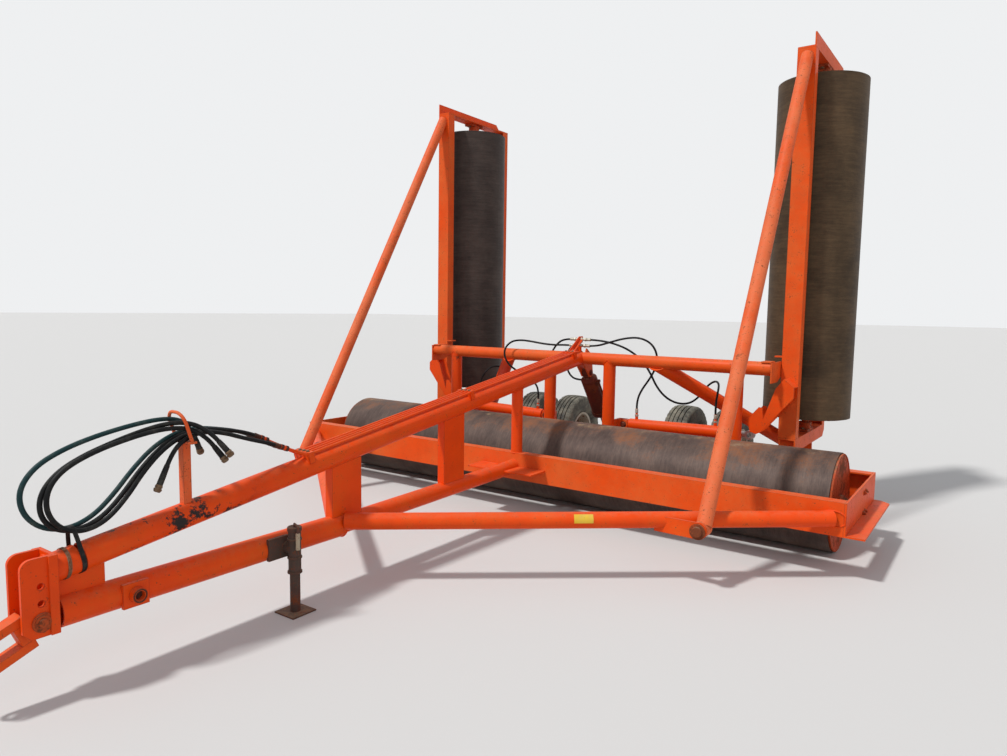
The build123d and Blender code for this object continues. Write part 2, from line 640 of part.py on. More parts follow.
for x, (y_union, z_union) in zip(line_x[1:3], bulk_union):
    top = (bulk_x + x, y_union, z_union)
    lines += bar(on_tube(x, line_rear, line_up), top, line_r) - bulk_arm
    for y, z in bulk_union:
        lines -= bar((bulk_x + union_ends[0], y, z), (bulk_x + union_ends[1], y, z), union_r)
for y, z in bulk_union:
    bulk_arm += bar((bulk_x + union_ends[0], y, z), (bulk_x + union_ends[1], y, z), union_r)
bulk_arm -= lines

# Post that holds the front hoses: square tube with a cross plate and a keeper loop on top
holder_y = -3791
holder_half = 22
holder_top = 1100
holder_plate = 12
loop_high = 1245
loop_half = 70
loop_lean = -50
loop_r = 9
plate_low = holder_top - holder_plate
holder = block(-holder_half, holder_half, holder_y - holder_half, holder_y + holder_half, up_front[2],
               holder_top) - upper_bar
holder = holder.solids().sort_by(Axis.Z)[-1]
holder += block(-loop_half - loop_r, loop_half + loop_r, holder_y - holder_half, holder_y + holder_half,
                plate_low, holder_top)
for x in (-loop_half, loop_half):
    holder += bar((x, holder_y, plate_low), (x, holder_y + loop_lean, loop_high), loop_r)
holder += bar((-loop_half - loop_r, holder_y + loop_lean, loop_high),
              (loop_half + loop_r, holder_y + loop_lean, loop_high), loop_r)
save("hydraulic_lines", lines)
save("hose_brackets", bulk_arm, holder)


# Hoses: straight runs joined by arcs, each arc as large as its two runs allow
def hose(name, r, points):
    """Save one hose, and give its last point and direction."""
    corners = [Vector(*p) for p in points]
    radii = []
    for a, b, c in zip(corners, corners[1:], corners[2:]):
        turn = radians((b - a).get_angle(c - b))
        radii.append(arc_share * min((b - a).length, (c - b).length) / tan(turn / 2))
    path = FilletPolyline(*corners, radius=radii)
    body = sweep(Plane(origin=corners[0], z_dir=corners[1] - corners[0]) * Circle(r), path=path)
    print(name, "length", round(path.length), "least radius", round(min(radii)), "in diameters",
          round(min(radii) / (2 * r), 1), "volume ratio", round(body.volume / (pi * r * r * path.length), 4))
    save(name, body)
    return corners[-1], (corners[-1] - corners[-2]).normalized()


def start_run(start, length):
    """The hose's first two points, straight out of a line's fitting."""
    tip, direction = start
    return [tuple(tip), tuple(tip + direction * length)]


# Each front hose goes over the holder's plate and down to the tie on the lower front of the tube;
# three of them turn up in a loop before the hitch and come back through the keeper
hose_ends = [
    hose("front_hose_a", hose_r, start_run(hose_starts[0], 90) + [
        (-50, -3560, 1126), (-44, -3700, 1150), (-42, -3820, 1136), (-40, -3940, 1080), (-37, -4050, 985),
        (-34, -4150, 875), (-32, -4250, 790), (-32, -4365, 752), (-34, -4480, 782), (-38, -4552, 866),
        (-40, -4562, 975), (-38, -4495, 1070), (-36, -4375, 1132), (-34, -4225, 1176), (-34, -4050, 1208),
        (-38, -3900, 1222), (-52, -3785, 1206), (-84, -3700, 1145), (-94, -3668, 1040)]),
    hose("front_hose_b", hose_r, start_run(hose_starts[1], 90) + [
        (-20, -3545, 1122), (-15, -3690, 1146), (-14, -3810, 1130), (-12, -3925, 1072), (-9, -4030, 978),
        (-6, -4125, 868), (-5, -4220, 782), (-5, -4330, 744), (-4, -4435, 768), (-3, -4495, 848),
        (-4, -4490, 950), (-6, -4415, 1036), (-6, -4300, 1094), (-4, -4160, 1140), (0, -4010, 1180),
        (14, -3880, 1204), (56, -3775, 1196), (108, -3700, 1135), (128, -3675, 1050)]),
    hose("front_hose_c", hose_r, start_run(hose_starts[2], 80) + [
        (18, -3455, 1068), (14, -3570, 1112), (13, -3700, 1140), (14, -3815, 1126), (18, -3925, 1068),
        (20, -4025, 975), (22, -4110, 866), (22, -4205, 776), (22, -4296, 743), (22, -4380, 755),
        (22, -4447, 807), (22, -4479, 886), (22, -4467, 970), (22, -4415, 1037), (22, -4337, 1082),
        (24, -4234, 1120), (26, -4108, 1151), (30, -3990, 1172), (35, -3890, 1180), (50, -3785, 1168),
        (82, -3710, 1110), (96, -3680, 1020)]),
    hose("front_hose_d", hose_r, start_run(hose_starts[3], 80) + [
        (52, -3440, 1062), (44, -3560, 1108), (41, -3690, 1138), (42, -3810, 1124), (48, -3910, 1066),
        (56, -3950, 970)])]
coupler_r = 16
coupler_long = 70
socket_r = 20
socket_long = 36
couplers = []
for end, direction in hose_ends:
    middle = end + direction * coupler_long
    couplers.append(bar(end, middle, coupler_r) + bar(middle, middle + direction * socket_long, socket_r))
save("hose_couplers", *couplers)


# Rear hoses: from the unions on the bulkhead arm, round the cross tube, to the fold cylinders' ports
def port_top(side, station, up=0):
    """Point straight above a port of the fold cylinder, up from the seat of its hose."""
    local = at_fold * Pos(station, 0, fold_barrel_r + port_high + ferrule_long + hose_gap + up)
    x, y, z = tuple(local.position)
    return (side * x, y, z)


right_end = bulk_x + union_ends[1]
left_end = bulk_x + union_ends[0]
near, far = port_at
over_brace = [(935, 680, 935), (1030, 750, 930), (1095, 822, 985), (1140, 852, 1065), (1200, 858, 1135),
              (1270, 815, 1165), (1325, 735, 1145), (1345, 650, 1075)]
hose("rear_hose_near_r", rear_hose_r, [
    (right_end, *bulk_union[0]), (right_end + 110, *bulk_union[0]), (300, 500, 1500), (450, 510, 1545),
    (600, 530, 1560), (725, 550, 1505), (782, 562, 1390), (760, 568, 1260), (690, 575, 1145),
    (618, 584, 1050), port_top(1, near, 80), port_top(1, near)])
hose("rear_hose_far_r", rear_hose_r, [
    (right_end, *bulk_union[1]), (right_end + 120, *bulk_union[1]), (320, 555, 1490), (480, 572, 1432),
    (610, 595, 1335), (690, 615, 1215), (750, 625, 1090), (835, 645, 990)] + over_brace
    + [port_top(1, far, 100), port_top(1, far)])
hose("rear_hose_near_l", rear_hose_r, [
    (left_end, *bulk_union[0]), (left_end - 110, *bulk_union[0]), (-340, 500, 1450), (-470, 494, 1458),
    (-600, 475, 1478), (-705, 430, 1490), (-775, 365, 1475), (-815, 305, 1410), (-810, 285, 1320),
    (-765, 305, 1235), (-705, 360, 1170), (-650, 435, 1125), (-591, 545, 1042), port_top(-1, near, 100),
    port_top(-1, near)])
hose("rear_hose_far_l", rear_hose_r, [
    (left_end, *bulk_union[1]), (left_end - 105, *bulk_union[1]), (-320, 548, 1470), (-400, 570, 1375),
    (-460, 585, 1260), (-540, 600, 1150), (-650, 615, 1060), (-790, 640, 985)]
    + [(-x, y, z) for x, y, z in over_brace] + [port_top(-1, far, 100), port_top(-1, far)])
lift_end = tuple((at_lift * Pos(lift_port, lift_stub_y + hose_gap, 0)).position)
hose("lift_hose", rear_hose_r, [
    on_tube(line_x[0], line_rear, line_up), on_tube(line_x[0], line_rear + 70, line_up), (-125, 485, 1438),
    (-198, 560, 1388), (-256, 622, 1303), (-266, 655, 1214), (-238, 667, 1139),
    (lift_end[0] - 80, lift_end[1], lift_end[2]), lift_end])

print("frame shift", round(frame_shift, 3), "fold", round(fold_length, 2), round(fold_tilt, 3),
      "lift", round(lift_length, 2), round(lift_tilt, 3))
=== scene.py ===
import bpy
import bmesh
import numpy as np
from math import cos, pi, radians, sin
from mathutils import Matrix, Vector


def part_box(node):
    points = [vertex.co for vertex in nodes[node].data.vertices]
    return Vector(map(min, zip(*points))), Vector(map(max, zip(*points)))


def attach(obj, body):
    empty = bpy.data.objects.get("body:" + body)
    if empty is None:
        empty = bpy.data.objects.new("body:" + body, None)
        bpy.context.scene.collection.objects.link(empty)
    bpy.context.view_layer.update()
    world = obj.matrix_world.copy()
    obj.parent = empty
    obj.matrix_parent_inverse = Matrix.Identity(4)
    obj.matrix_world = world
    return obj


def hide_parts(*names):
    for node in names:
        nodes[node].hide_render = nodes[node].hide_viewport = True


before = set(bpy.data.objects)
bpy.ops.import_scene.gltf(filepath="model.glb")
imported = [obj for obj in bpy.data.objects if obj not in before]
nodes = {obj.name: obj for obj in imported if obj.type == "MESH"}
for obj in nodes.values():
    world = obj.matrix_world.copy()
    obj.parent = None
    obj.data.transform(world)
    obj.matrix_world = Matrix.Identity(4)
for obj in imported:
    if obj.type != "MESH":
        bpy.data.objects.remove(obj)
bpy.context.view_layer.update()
drumLow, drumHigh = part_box("centre_drum")
drumY = (drumLow.y + drumHigh.y) / 2      # stations along Y below are measured from the centre drum's axis
alongX, alongY, alongZ = np.eye(3)
print("loaded", len(nodes), "nodes, drum axis at", round(drumY, 4))


def at(points):
    # (x, y from the drum's axis, z) to the machine's own frame
    return np.asarray(points, float) + (0, drumY, 0)


def grid(points, wrapU=False, wrapV=False):
    # an m by n array of points, with a quad between each four neighbours
    m, n = points.shape[:2]
    i, j = np.meshgrid(np.arange(m if wrapU else m - 1), np.arange(n if wrapV else n - 1), indexing="ij")
    corners = [i * n + j, (i + 1) % m * n + j, (i + 1) % m * n + (j + 1) % n, i * n + (j + 1) % n]
    return points.reshape(-1, 3), np.stack(corners, -1).reshape(-1, 4)


def axes(direction):
    # two unit vectors square to the direction, and the direction itself
    w = np.asarray(direction, float)
    w = w / np.linalg.norm(w)
    u = np.cross(w, alongZ if abs(w[2]) < 0.9 else alongX)
    u = u / np.linalg.norm(u)
    return u, np.cross(w, u), w


def revolve(profile, centre, direction, segments=32, change=None):
    # point = centre + along * w + radius * (cos t * u + sin t * v), for a profile of (along, radius);
    # change(along, radius, t) is added to the radius
    u, v, w = axes(direction)
    profile = np.asarray(profile, float)
    t = np.linspace(0, 2 * pi, segments, endpoint=False)
    ring = np.cos(t)[:, None] * u + np.sin(t)[:, None] * v
    radius = np.repeat(profile[:, 1:], segments, 1)
    if change:
        radius = radius + change(profile[:, :1], profile[:, 1:], t[None])
    points = np.asarray(centre) + profile[:, None, :1] * w + radius[..., None] * ring[None]
    return grid(points, wrapV=True)


def rod(radius, long, centre, direction, segments=24):
    # round bar with flat ends: the same radius from 0 to long
    return revolve([(0, 0), (0, radius), (long, radius), (long, 0)], centre, direction, segments)


def hexNut(radius, high, centre, direction):
    # six-sided nut with its outer corners cut by 2 mm
    profile = [(0, 0), (0, radius), (high - 0.002, radius), (high, radius - 0.002), (high, 0)]
    return revolve(profile, centre, direction, 6)


def sweep(path, radius, sides=10, closed=False):
    # circle carried along a path: point = path(s) + radius(s) * (cos t * u(s) + sin t * v(s))
    path = np.asarray(path, float)
    tangent = np.roll(path, -1, 0) - np.roll(path, 1, 0) if closed else np.gradient(path, axis=0)
    tangent /= np.linalg.norm(tangent, axis=1)[:, None]
    u = np.cross(tangent, (0.137, 0.31, 0.94))      # a direction that no path here runs along
    u /= np.linalg.norm(u, axis=1)[:, None]
    v = np.cross(tangent, u)
    t = np.linspace(0, 2 * pi, sides, endpoint=False)[None, :, None]
    size = np.broadcast_to(np.asarray(radius, float), len(path))
    rings = path[:, None] + size[:, None, None] * (np.cos(t) * u[:, None] + np.sin(t) * v[:, None])
    if closed:
        return grid(rings, wrapU=True, wrapV=True)
    rings = np.concatenate([np.repeat(path[:1, None], sides, 1), rings, np.repeat(path[-1:, None], sides, 1)])
    return grid(rings, wrapV=True)


def resampled(points, step, closed=False):
    # points at an even step along a line of straight stretches
    points = np.asarray(points, float)
    if closed:
        points = np.vstack([points, points[:1]])
    reach = np.concatenate([[0], np.cumsum(np.linalg.norm(np.diff(points, axis=0), axis=1))])
    places = np.linspace(0, reach[-1], max(4, int(reach[-1] / step)), endpoint=not closed)
    return np.column_stack([np.interp(places, reach, points[:, k]) for k in range(3)])


def circle(centre, direction, radius, count=72):
    # centre + radius * (cos t * u + sin t * v)
    u, v, w = axes(direction)
    t = np.linspace(0, 2 * pi, count, endpoint=False)[:, None]
    return np.asarray(centre) + radius * (np.cos(t) * u + np.sin(t) * v)


def tubeJoint(start, direction, radius, onto, along, big):
    # where a tube of the first radius, running from start, meets the big tube: each line start + k * d on
    # its wall solves |w + k * a| = big, with w and a the parts of the line square to the big tube's axis
    d = axes(direction)[2]
    e = axes(along)[2]
    line = circle(start, direction, radius) - np.asarray(onto)
    w = line - (line @ e)[:, None] * e
    a = d - (d @ e) * e
    half = w @ a
    root = half ** 2 - (a @ a) * ((w * w).sum(1) - big ** 2)
    k = (-half - np.sqrt(np.maximum(root, 0))) / (a @ a)
    return line + np.asarray(onto) + k[:, None] * d


bead = {"step": 0.55, "ripple": 0.13, "wave": 3.4, "uneven": 0.16, "every": 7, "sides": 8}


def weld(points, size, seed=3):
    # rippled bead round a closed line: radius = size * (1 + ripple of the passes + slow unevenness)
    path = resampled(points, size * bead["step"], True)
    s = np.arange(len(path))
    knots = s[::bead["every"]]
    slow = np.random.default_rng(seed).uniform(-bead["uneven"], bead["uneven"], len(knots))
    ripple = bead["ripple"] * np.sin(s * 2 * pi / bead["wave"])
    return sweep(path, size * (1 + ripple + np.interp(s, knots, slow)), bead["sides"], True)


def boxAt(low, high):
    # eight corners and six faces between two opposite corners
    points = [[x, y, z] for x in (low[0], high[0]) for y in (low[1], high[1]) for z in (low[2], high[2])]
    faces = [(0, 1, 3, 2), (4, 6, 7, 5), (0, 4, 5, 1), (2, 3, 7, 6), (0, 2, 6, 4), (1, 5, 7, 3)]
    return np.array(points, float), np.array(faces)


def joined(shapes):
    # several (points, faces) as one, with the faces' numbers moved up
    points, faces, start = [], [], 0
    for shapePoints, shapeFaces in shapes:
        points.append(shapePoints)
        faces.append(shapeFaces + start)
        start += len(shapePoints)
    return np.concatenate(points), np.concatenate(faces)


def moved(shape, matrix):
    # every point p of the shape becomes matrix @ p
    m = np.array(matrix)
    return shape[0] @ m[:3, :3].T + m[:3, 3], shape[1]


def hexHead(centre, direction, size):
    # washer and six-sided head with a chamfer, for a head of the given radius over its corners
    washer = [(0, 0), (0, 1.3 * size), (0.16 * size, 1.3 * size), (0.2 * size, 1.2 * size), (0.2 * size, 0)]
    head = [(0, 0), (0, size), (0.78 * size, size), (0.9 * size, 0.86 * size), (0.9 * size, 0)]
    return joined([revolve(washer, centre, direction, 20), revolve(head, centre, direction, 6)])


def nutEnd(centre, direction, size):
    # nut on its washer, with the end of the bolt standing out of it
    end = [(0, 0), (0, 0.55 * size), (1.3 * size, 0.55 * size), (1.42 * size, 0.46 * size), (1.42 * size, 0)]
    return joined([hexHead(centre, direction, size), revolve(end, centre, direction, 14)])


def pinEnd(centre, direction, radius, collar):
    # washer, chamfered pin end, and the split pin across it
    u, v, w = axes(direction)
    profile = [(0, 0), (0, collar), (0.004, collar), (0.0045, 1.02 * radius), (0.012, 1.02 * radius),
               (0.015, 0.8 * radius), (0.015, 0)]
    middle = np.asarray(centre) + 0.009 * w
    split = sweep([middle - 1.35 * radius * u, middle, middle + 1.5 * radius * u], 0.0022, 6)
    return joined([revolve(profile, centre, direction, 24), split])


def nipple(centre, direction):
    # grease nipple: hexagon, neck and ball head
    profile = [(0, 0), (0, 0.006), (0.004, 0.006), (0.004, 0.0035), (0.009, 0.003), (0.011, 0.0042),
               (0.014, 0.0035), (0.015, 0)]
    return revolve(profile, centre, direction, 10)


def addPiece(name, shape, finish, slot, body="frame", instead=None, angle=32, bevel=0):
    # the shape, given in stations from the drum's axis, as a smooth-shaded object with its sharper edges
    # kept crisp
    points, faces = shape
    mesh = bpy.data.meshes.new(name)
    mesh.from_pydata(at(points).tolist(), [], [list(face) for face in faces])
    work = bmesh.new()
    work.from_mesh(mesh)
    bmesh.ops.remove_doubles(work, verts=work.verts, dist=1e-6)
    bmesh.ops.recalc_face_normals(work, faces=work.faces)
    work.to_mesh(mesh)
    work.free()
    mesh.shade_smooth()
    mesh.set_sharp_from_angle(angle=radians(angle))
    piece = bpy.data.objects.new(name, mesh)
    bpy.context.scene.collection.objects.link(piece)
    if bevel:
        edges = piece.modifiers.new("edges", "BEVEL")
        edges.width = bevel
        edges.segments = 2
        edges.limit_method = "ANGLE"
    mesh.materials.append(finishes[finish])
    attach(piece, body)
    if instead:
        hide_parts(instead)
    return piece


def addBoth(name, shape, finish, slot, body="frame", instead=None, **look):
    # the piece on the right and its mirror image on the left; a name that ends in _ gets the side's letter
    for side, flip in (("r", 1), ("l", -1)):
        own, carrier, hidden = (word + side if word and word.endswith("_") else word
                                for word in (name, body, instead))
        addPiece(own, (shape[0] * (flip, 1, 1), shape[1]), finish, slot, carrier, hidden, **look)


def shade(red, green, blue):
    # a colour as it looks on screen, 0 to 255, as linear light
    c = np.array((red, green, blue), float) / 255
    linear = np.where(c <= 0.04045, c / 12.92, ((c + 0.055) / 1.055) ** 2.4)
    return (*[float(x) for x in linear], 1.0)


def place(tree, kind, inputs=None, **settings):
    # a node with its settings; an input that is a socket is linked, and any other value is set
    node = tree.nodes.new(kind)
    for key, value in settings.items():
        setattr(node, key, value)
    for key, value in (inputs or {}).items():
        if isinstance(value, bpy.types.NodeSocket):
            tree.links.new(value, node.inputs[key])
        else:
            node.inputs[key].default_value = value
    return node


def maths(tree, operation, a, b=0.0, clamp=False):
    return place(tree, "ShaderNodeMath", {0: a, 1: b}, operation=operation, use_clamp=clamp).outputs[0]


def weighted(tree, *terms):
    # sum of value * weight
    total = None
    for value, weight in terms:
        part = maths(tree, "MULTIPLY", value, weight)
        total = part if total is None else maths(tree, "ADD", total, part)
    return total


def blendColour(tree, mask, a, b):
    return place(tree, "ShaderNodeMix", {0: mask, 6: a, 7: b}, data_type="RGBA").outputs[2]


def window(tree, value, low, high):
    # 0 below low, 1 above high, smooth between
    inputs = {0: value, 1: low, 2: high}
    return place(tree, "ShaderNodeMapRange", inputs, interpolation_type="SMOOTHSTEP").outputs[0]


def noise(tree, vector, scale, detail=5.0, roughness=0.6):
    inputs = {"Vector": vector, "Scale": scale, "Detail": detail, "Roughness": roughness}
    return place(tree, "ShaderNodeTexNoise", inputs).outputs["Fac"]


edgeWear = {"samples": 6, "grain": 0.10, "low": 0.06, "high": 0.16}


def edgeMask(tree, radius, grain):
    # outer edges, where the bevelled normal leaves the true one, broken up by the grain
    bevelled = place(tree, "ShaderNodeBevel", {"Radius": radius}, samples=edgeWear["samples"]).outputs[0]
    normal = place(tree, "ShaderNodeNewGeometry").outputs["Normal"]
    alike = place(tree, "ShaderNodeVectorMath", {0: bevelled, 1: normal},
                  operation="DOT_PRODUCT").outputs["Value"]
    turned = maths(tree, "SUBTRACT", 1.0, alike)
    broken = weighted(tree, (turned, 1.0), (grain, edgeWear["grain"]))
    return window(tree, broken, edgeWear["low"], edgeWear["high"])


colourKind, numberKind, vectorKind = "NodeSocketColor", "NodeSocketFloat", "NodeSocketVector"
surfaceOutputs = {"Colour": colourKind, "Roughness": numberKind, "Height": numberKind}


def newGroup(name, colours, numbers, vectors=()):
    # a node group that puts out a surface, with colour, number and vector inputs and their first values
    tree = bpy.data.node_groups.new(name, "ShaderNodeTree")
    inputs = [(label, vectorKind, (0, 0, 0)) for label in vectors]
    inputs += [(label, colourKind, shade(*value)) for label, value in colours.items()]
    inputs += [(label, numberKind, value) for label, value in numbers.items()]
    for label, kind, value in inputs:
        tree.interface.new_socket(label, in_out="INPUT", socket_type=kind).default_value = value
    for label, kind in surfaceOutputs.items():
        tree.interface.new_socket(label, in_out="OUTPUT", socket_type=kind)
    return tree, tree.nodes.new("NodeGroupInput").outputs, tree.nodes.new("NodeGroupOutput").inputs


# A station past the machine, for an effect that a finish doesn't use
nowhere = 90.0
paintNoise = {"cloud": (1.7, 6.0, 0.62), "fine": (23.0, 5.0, 0.7), "grit": (95.0, 4.0, 0.7),
              "shadow": (6.0, 4.0), "patch": (4.2, 8.0, 0.72), "paintedHoseShadow": (5.0, 7.0, 0.72)}
paintLimits = {"shadow": (0.35, 0.7), "patch": (0.68, 0.74), "speck": (0.62, 0.66), "paintedHoseShadow": (0.535, 0.57),
               "settled": (0.3, 0.62), "up": (0.35, 0.98), "paintedHoseShadowRun": 0.25}


def sunFadedPaint():
    # old enamel: fresh colour faded in clouds, rust in patches, specks and along edges, painted shadow of the
    # hoses as dark patches between two stations, and dust on what faces up
    tree, given, out = newGroup(
        "sunFadedPaint",
        {"Fresh": (232, 66, 14), "Faded": (206, 92, 62), "Rust": (88, 42, 28), "Dust": (176, 150, 122),
         "Painted Hose Shadow": (42, 34, 32)},
        {"Fade": 0.5, "Patches": 0.1, "Specks": 0.3, "Dust Amount": 0.25, "Edge": 0.006,
         "Painted Hose Shadow Start": nowhere, "Painted Hose Shadow End": nowhere + 1})
    spot = place(tree, "ShaderNodeTexCoord").outputs["Object"]
    cloud, fine, grit = (noise(tree, spot, *paintNoise[key]) for key in ("cloud", "fine", "grit"))
    level = maths(tree, "SUBTRACT", 0.95, given["Fade"])
    fadeLow, fadeHigh = maths(tree, "SUBTRACT", level, 0.16), maths(tree, "ADD", level, 0.2)
    fadeMask = window(tree, weighted(tree, (cloud, 0.7), (fine, 0.3)), fadeLow, fadeHigh)
    colour = blendColour(tree, fadeMask, given["Fresh"], given["Faded"])
    shadow = window(tree, noise(tree, spot, *paintNoise["shadow"]), *paintLimits["shadow"])
    colour = blendColour(tree, maths(tree, "MULTIPLY", shadow, 0.16), colour, shade(160, 44, 10))
    patches = weighted(tree, (noise(tree, spot, *paintNoise["patch"]), 1.0), (given["Patches"], 0.35))
    patch = window(tree, patches, *paintLimits["patch"])
    specks = weighted(tree, (grit, 0.6), (fine, 0.4), (given["Specks"], 0.12))
    speck = window(tree, specks, *paintLimits["speck"])
    edge = maths(tree, "MULTIPLY", edgeMask(tree, given["Edge"], fine), 0.6)
    rustMask = maths(tree, "MAXIMUM", patch, maths(tree, "MAXIMUM", speck, edge), True)
    colour = blendColour(tree, rustMask, colour, blendColour(tree, grit, given["Rust"], shade(134, 74, 46)))
    # painted shadow of the hoses: dark patches on the tube between the two stations along y
    y = place(tree, "ShaderNodeSeparateXYZ", {0: spot}).outputs[1]
    run = paintLimits["paintedHoseShadowRun"]
    after = window(tree, y, given["Painted Hose Shadow Start"], maths(tree, "ADD", given["Painted Hose Shadow Start"], run))
    before = window(tree, y, given["Painted Hose Shadow End"], maths(tree, "SUBTRACT", given["Painted Hose Shadow End"], run))
    paintedHoseShadows = weighted(tree, (noise(tree, spot, *paintNoise["paintedHoseShadow"]), 0.85), (grit, 0.15))
    paintedHoseShadowed = window(tree, paintedHoseShadows, *paintLimits["paintedHoseShadow"])
    paintedHoseShadowMask = maths(tree, "MULTIPLY", paintedHoseShadowed, maths(tree, "MULTIPLY", after, before))
    colour = blendColour(tree, paintedHoseShadowMask, colour, given["Painted Hose Shadow"])
    normal = place(tree, "ShaderNodeNewGeometry").outputs["Normal"]
    up = window(tree, place(tree, "ShaderNodeSeparateXYZ", {0: normal}).outputs[2], *paintLimits["up"])
    settled = maths(tree, "MULTIPLY", window(tree, fine, *paintLimits["settled"]), given["Dust Amount"])
    dustMask = maths(tree, "MULTIPLY", up, settled, True)
    tree.links.new(blendColour(tree, dustMask, colour, given["Dust"]), out["Colour"])
    worn = maths(tree, "MAXIMUM", rustMask, dustMask)
    rough = weighted(tree, (fadeMask, 0.2), (worn, 0.3), (maths(tree, "ADD", fine, 2.6), 0.15))
    tree.links.new(rough, out["Roughness"])
    depth = weighted(tree, (grit, 0.6), (maths(tree, "ADD", cloud, 3.0), 0.1))
    chipped = maths(tree, "MULTIPLY", rustMask, depth)
    tree.links.new(maths(tree, "SUBTRACT", maths(tree, "MULTIPLY", cloud, 0.15), chipped), out["Height"])
    return tree


steelNoise = {"streak": (5.0, 8.0, 0.7), "finerStreak": (24.0, 6.0, 0.75), "blotch": (2.1, 7.0, 0.66),
              "grit": (60.0, 5.0, 0.7), "clump": (5.5, 8.0, 0.72)}
steelLimits = {"tone": (0.36, 0.72), "rust": (0.56, 0.72), "soil": (0.6, 0.74), "crown": 0.30, "crust": 0.05}


def rolledSteel():
    # bare rolled steel: brown scale drawn out round the drum, rust clouds, caked soil, and a crust towards
    # the crown
    tree, given, out = newGroup(
        "rolledSteel",
        {"Dark": (66, 52, 50), "Light": (112, 88, 80), "Rust": (134, 72, 40), "Soil": (150, 124, 98)},
        {"Rust Amount": 0.3, "Soil Amount": 0.3, "Crown": nowhere}, ("Vector", "Stretched"))
    streak, finerStreak = (noise(tree, given["Stretched"], *steelNoise[key])
                           for key in ("streak", "finerStreak"))
    blotch, grit, clump = (noise(tree, given["Vector"], *steelNoise[key])
                           for key in ("blotch", "grit", "clump"))
    tone = window(tree, weighted(tree, (streak, 0.3), (finerStreak, 0.25), (blotch, 0.5)),
                  *steelLimits["tone"])
    colour = blendColour(tree, tone, given["Dark"], given["Light"])
    z = place(tree, "ShaderNodeSeparateXYZ", {0: given["Vector"]}).outputs[2]
    crown, crust = (window(tree, z, maths(tree, "SUBTRACT", given["Crown"], steelLimits[key]), given["Crown"])
                    for key in ("crown", "crust"))
    rusty = weighted(tree, (blotch, 0.6), (grit, 0.25), (given["Rust Amount"], 0.4), (crown, 0.14))
    rustMask = window(tree, rusty, *steelLimits["rust"])
    colour = blendColour(tree, maths(tree, "MULTIPLY", rustMask, 0.75), colour, given["Rust"])
    soiled = weighted(tree, (clump, 0.8), (given["Soil Amount"], 0.5), (crust, 0.16))
    soilMask = window(tree, soiled, *steelLimits["soil"])
    tree.links.new(blendColour(tree, maths(tree, "MULTIPLY", soilMask, 0.85), colour, given["Soil"]),
                   out["Colour"])
    covered = maths(tree, "MAXIMUM", rustMask, soilMask)
    tree.links.new(weighted(tree, (covered, 0.3), (maths(tree, "ADD", grit, 5.0), 0.1)), out["Roughness"])
    tree.links.new(weighted(tree, (finerStreak, 0.25), (grit, 0.3), (soilMask, 0.5)), out["Height"])
    return tree


dustNoise = {"cloud": (6.0, 0.68), "grain": (4.0, 0.7), "finer": 9.0, "limits": (0.5, 0.9), "edge": 0.004}


def roadDust():
    # fine dust over rubber, plastic and zinc, and a painted highlight of pale colour along the outer edges
    tree, given, out = newGroup(
        "roadDust", {"Base": (30, 30, 30), "Dust": (150, 142, 126)},
        {"Amount": 0.4, "Scale": 12.0, "Edge": 0.0})
    spot = place(tree, "ShaderNodeTexCoord").outputs["Object"]
    cloud = noise(tree, spot, given["Scale"], *dustNoise["cloud"])
    finer = maths(tree, "MULTIPLY", given["Scale"], dustNoise["finer"])
    grain = noise(tree, spot, finer, *dustNoise["grain"])
    cover = weighted(tree, (cloud, 0.7), (grain, 0.3), (given["Amount"], 0.5))
    dusty = window(tree, cover, *dustNoise["limits"])
    # painted highlight: the dust colour laid along the outer edges, as strong as Edge gives
    paintedEdgeHighlight = maths(tree, "MULTIPLY", edgeMask(tree, dustNoise["edge"], grain), given["Edge"])
    mask = maths(tree, "MAXIMUM", dusty, paintedEdgeHighlight, True)
    tree.links.new(blendColour(tree, mask, given["Base"], given["Dust"]), out["Colour"])
    tree.links.new(weighted(tree, (mask, 0.4), (maths(tree, "ADD", grain, 4.5), 0.1)), out["Roughness"])
    tree.links.new(grain, out["Height"])
    return tree


def newMaterial(name, tree, values, bump, depth, metallic=0.0, stretch=None, coat=0.0):
    # one Principled surface fed by a shared group with this finish's own values
    material = bpy.data.materials.new(name)
    material.use_nodes = True
    own = material.node_tree
    own.nodes.clear()
    group = place(own, "ShaderNodeGroup", node_tree=tree)
    for key, value in values.items():
        group.inputs[key].default_value = shade(*value) if isinstance(value, tuple) else value
    if stretch:
        spot = place(own, "ShaderNodeTexCoord").outputs["Object"]
        own.links.new(spot, group.inputs["Vector"])
        drawn = place(own, "ShaderNodeMapping", {"Vector": spot, "Scale": stretch})
        own.links.new(drawn.outputs[0], group.inputs["Stretched"])
    relief = place(own, "ShaderNodeBump",
                   {"Height": group.outputs["Height"], "Strength": bump, "Distance": depth})
    surface = place(own, "ShaderNodeBsdfPrincipled", {
        "Base Color": group.outputs["Colour"], "Roughness": group.outputs["Roughness"], "Metallic": metallic,
        "Coat Weight": coat, "Coat Roughness": 0.3, "Specular IOR Level": 0.15, "Normal": relief.outputs[0]})
    place(own, "ShaderNodeOutputMaterial", {"Surface": surface.outputs[0]})
    return material


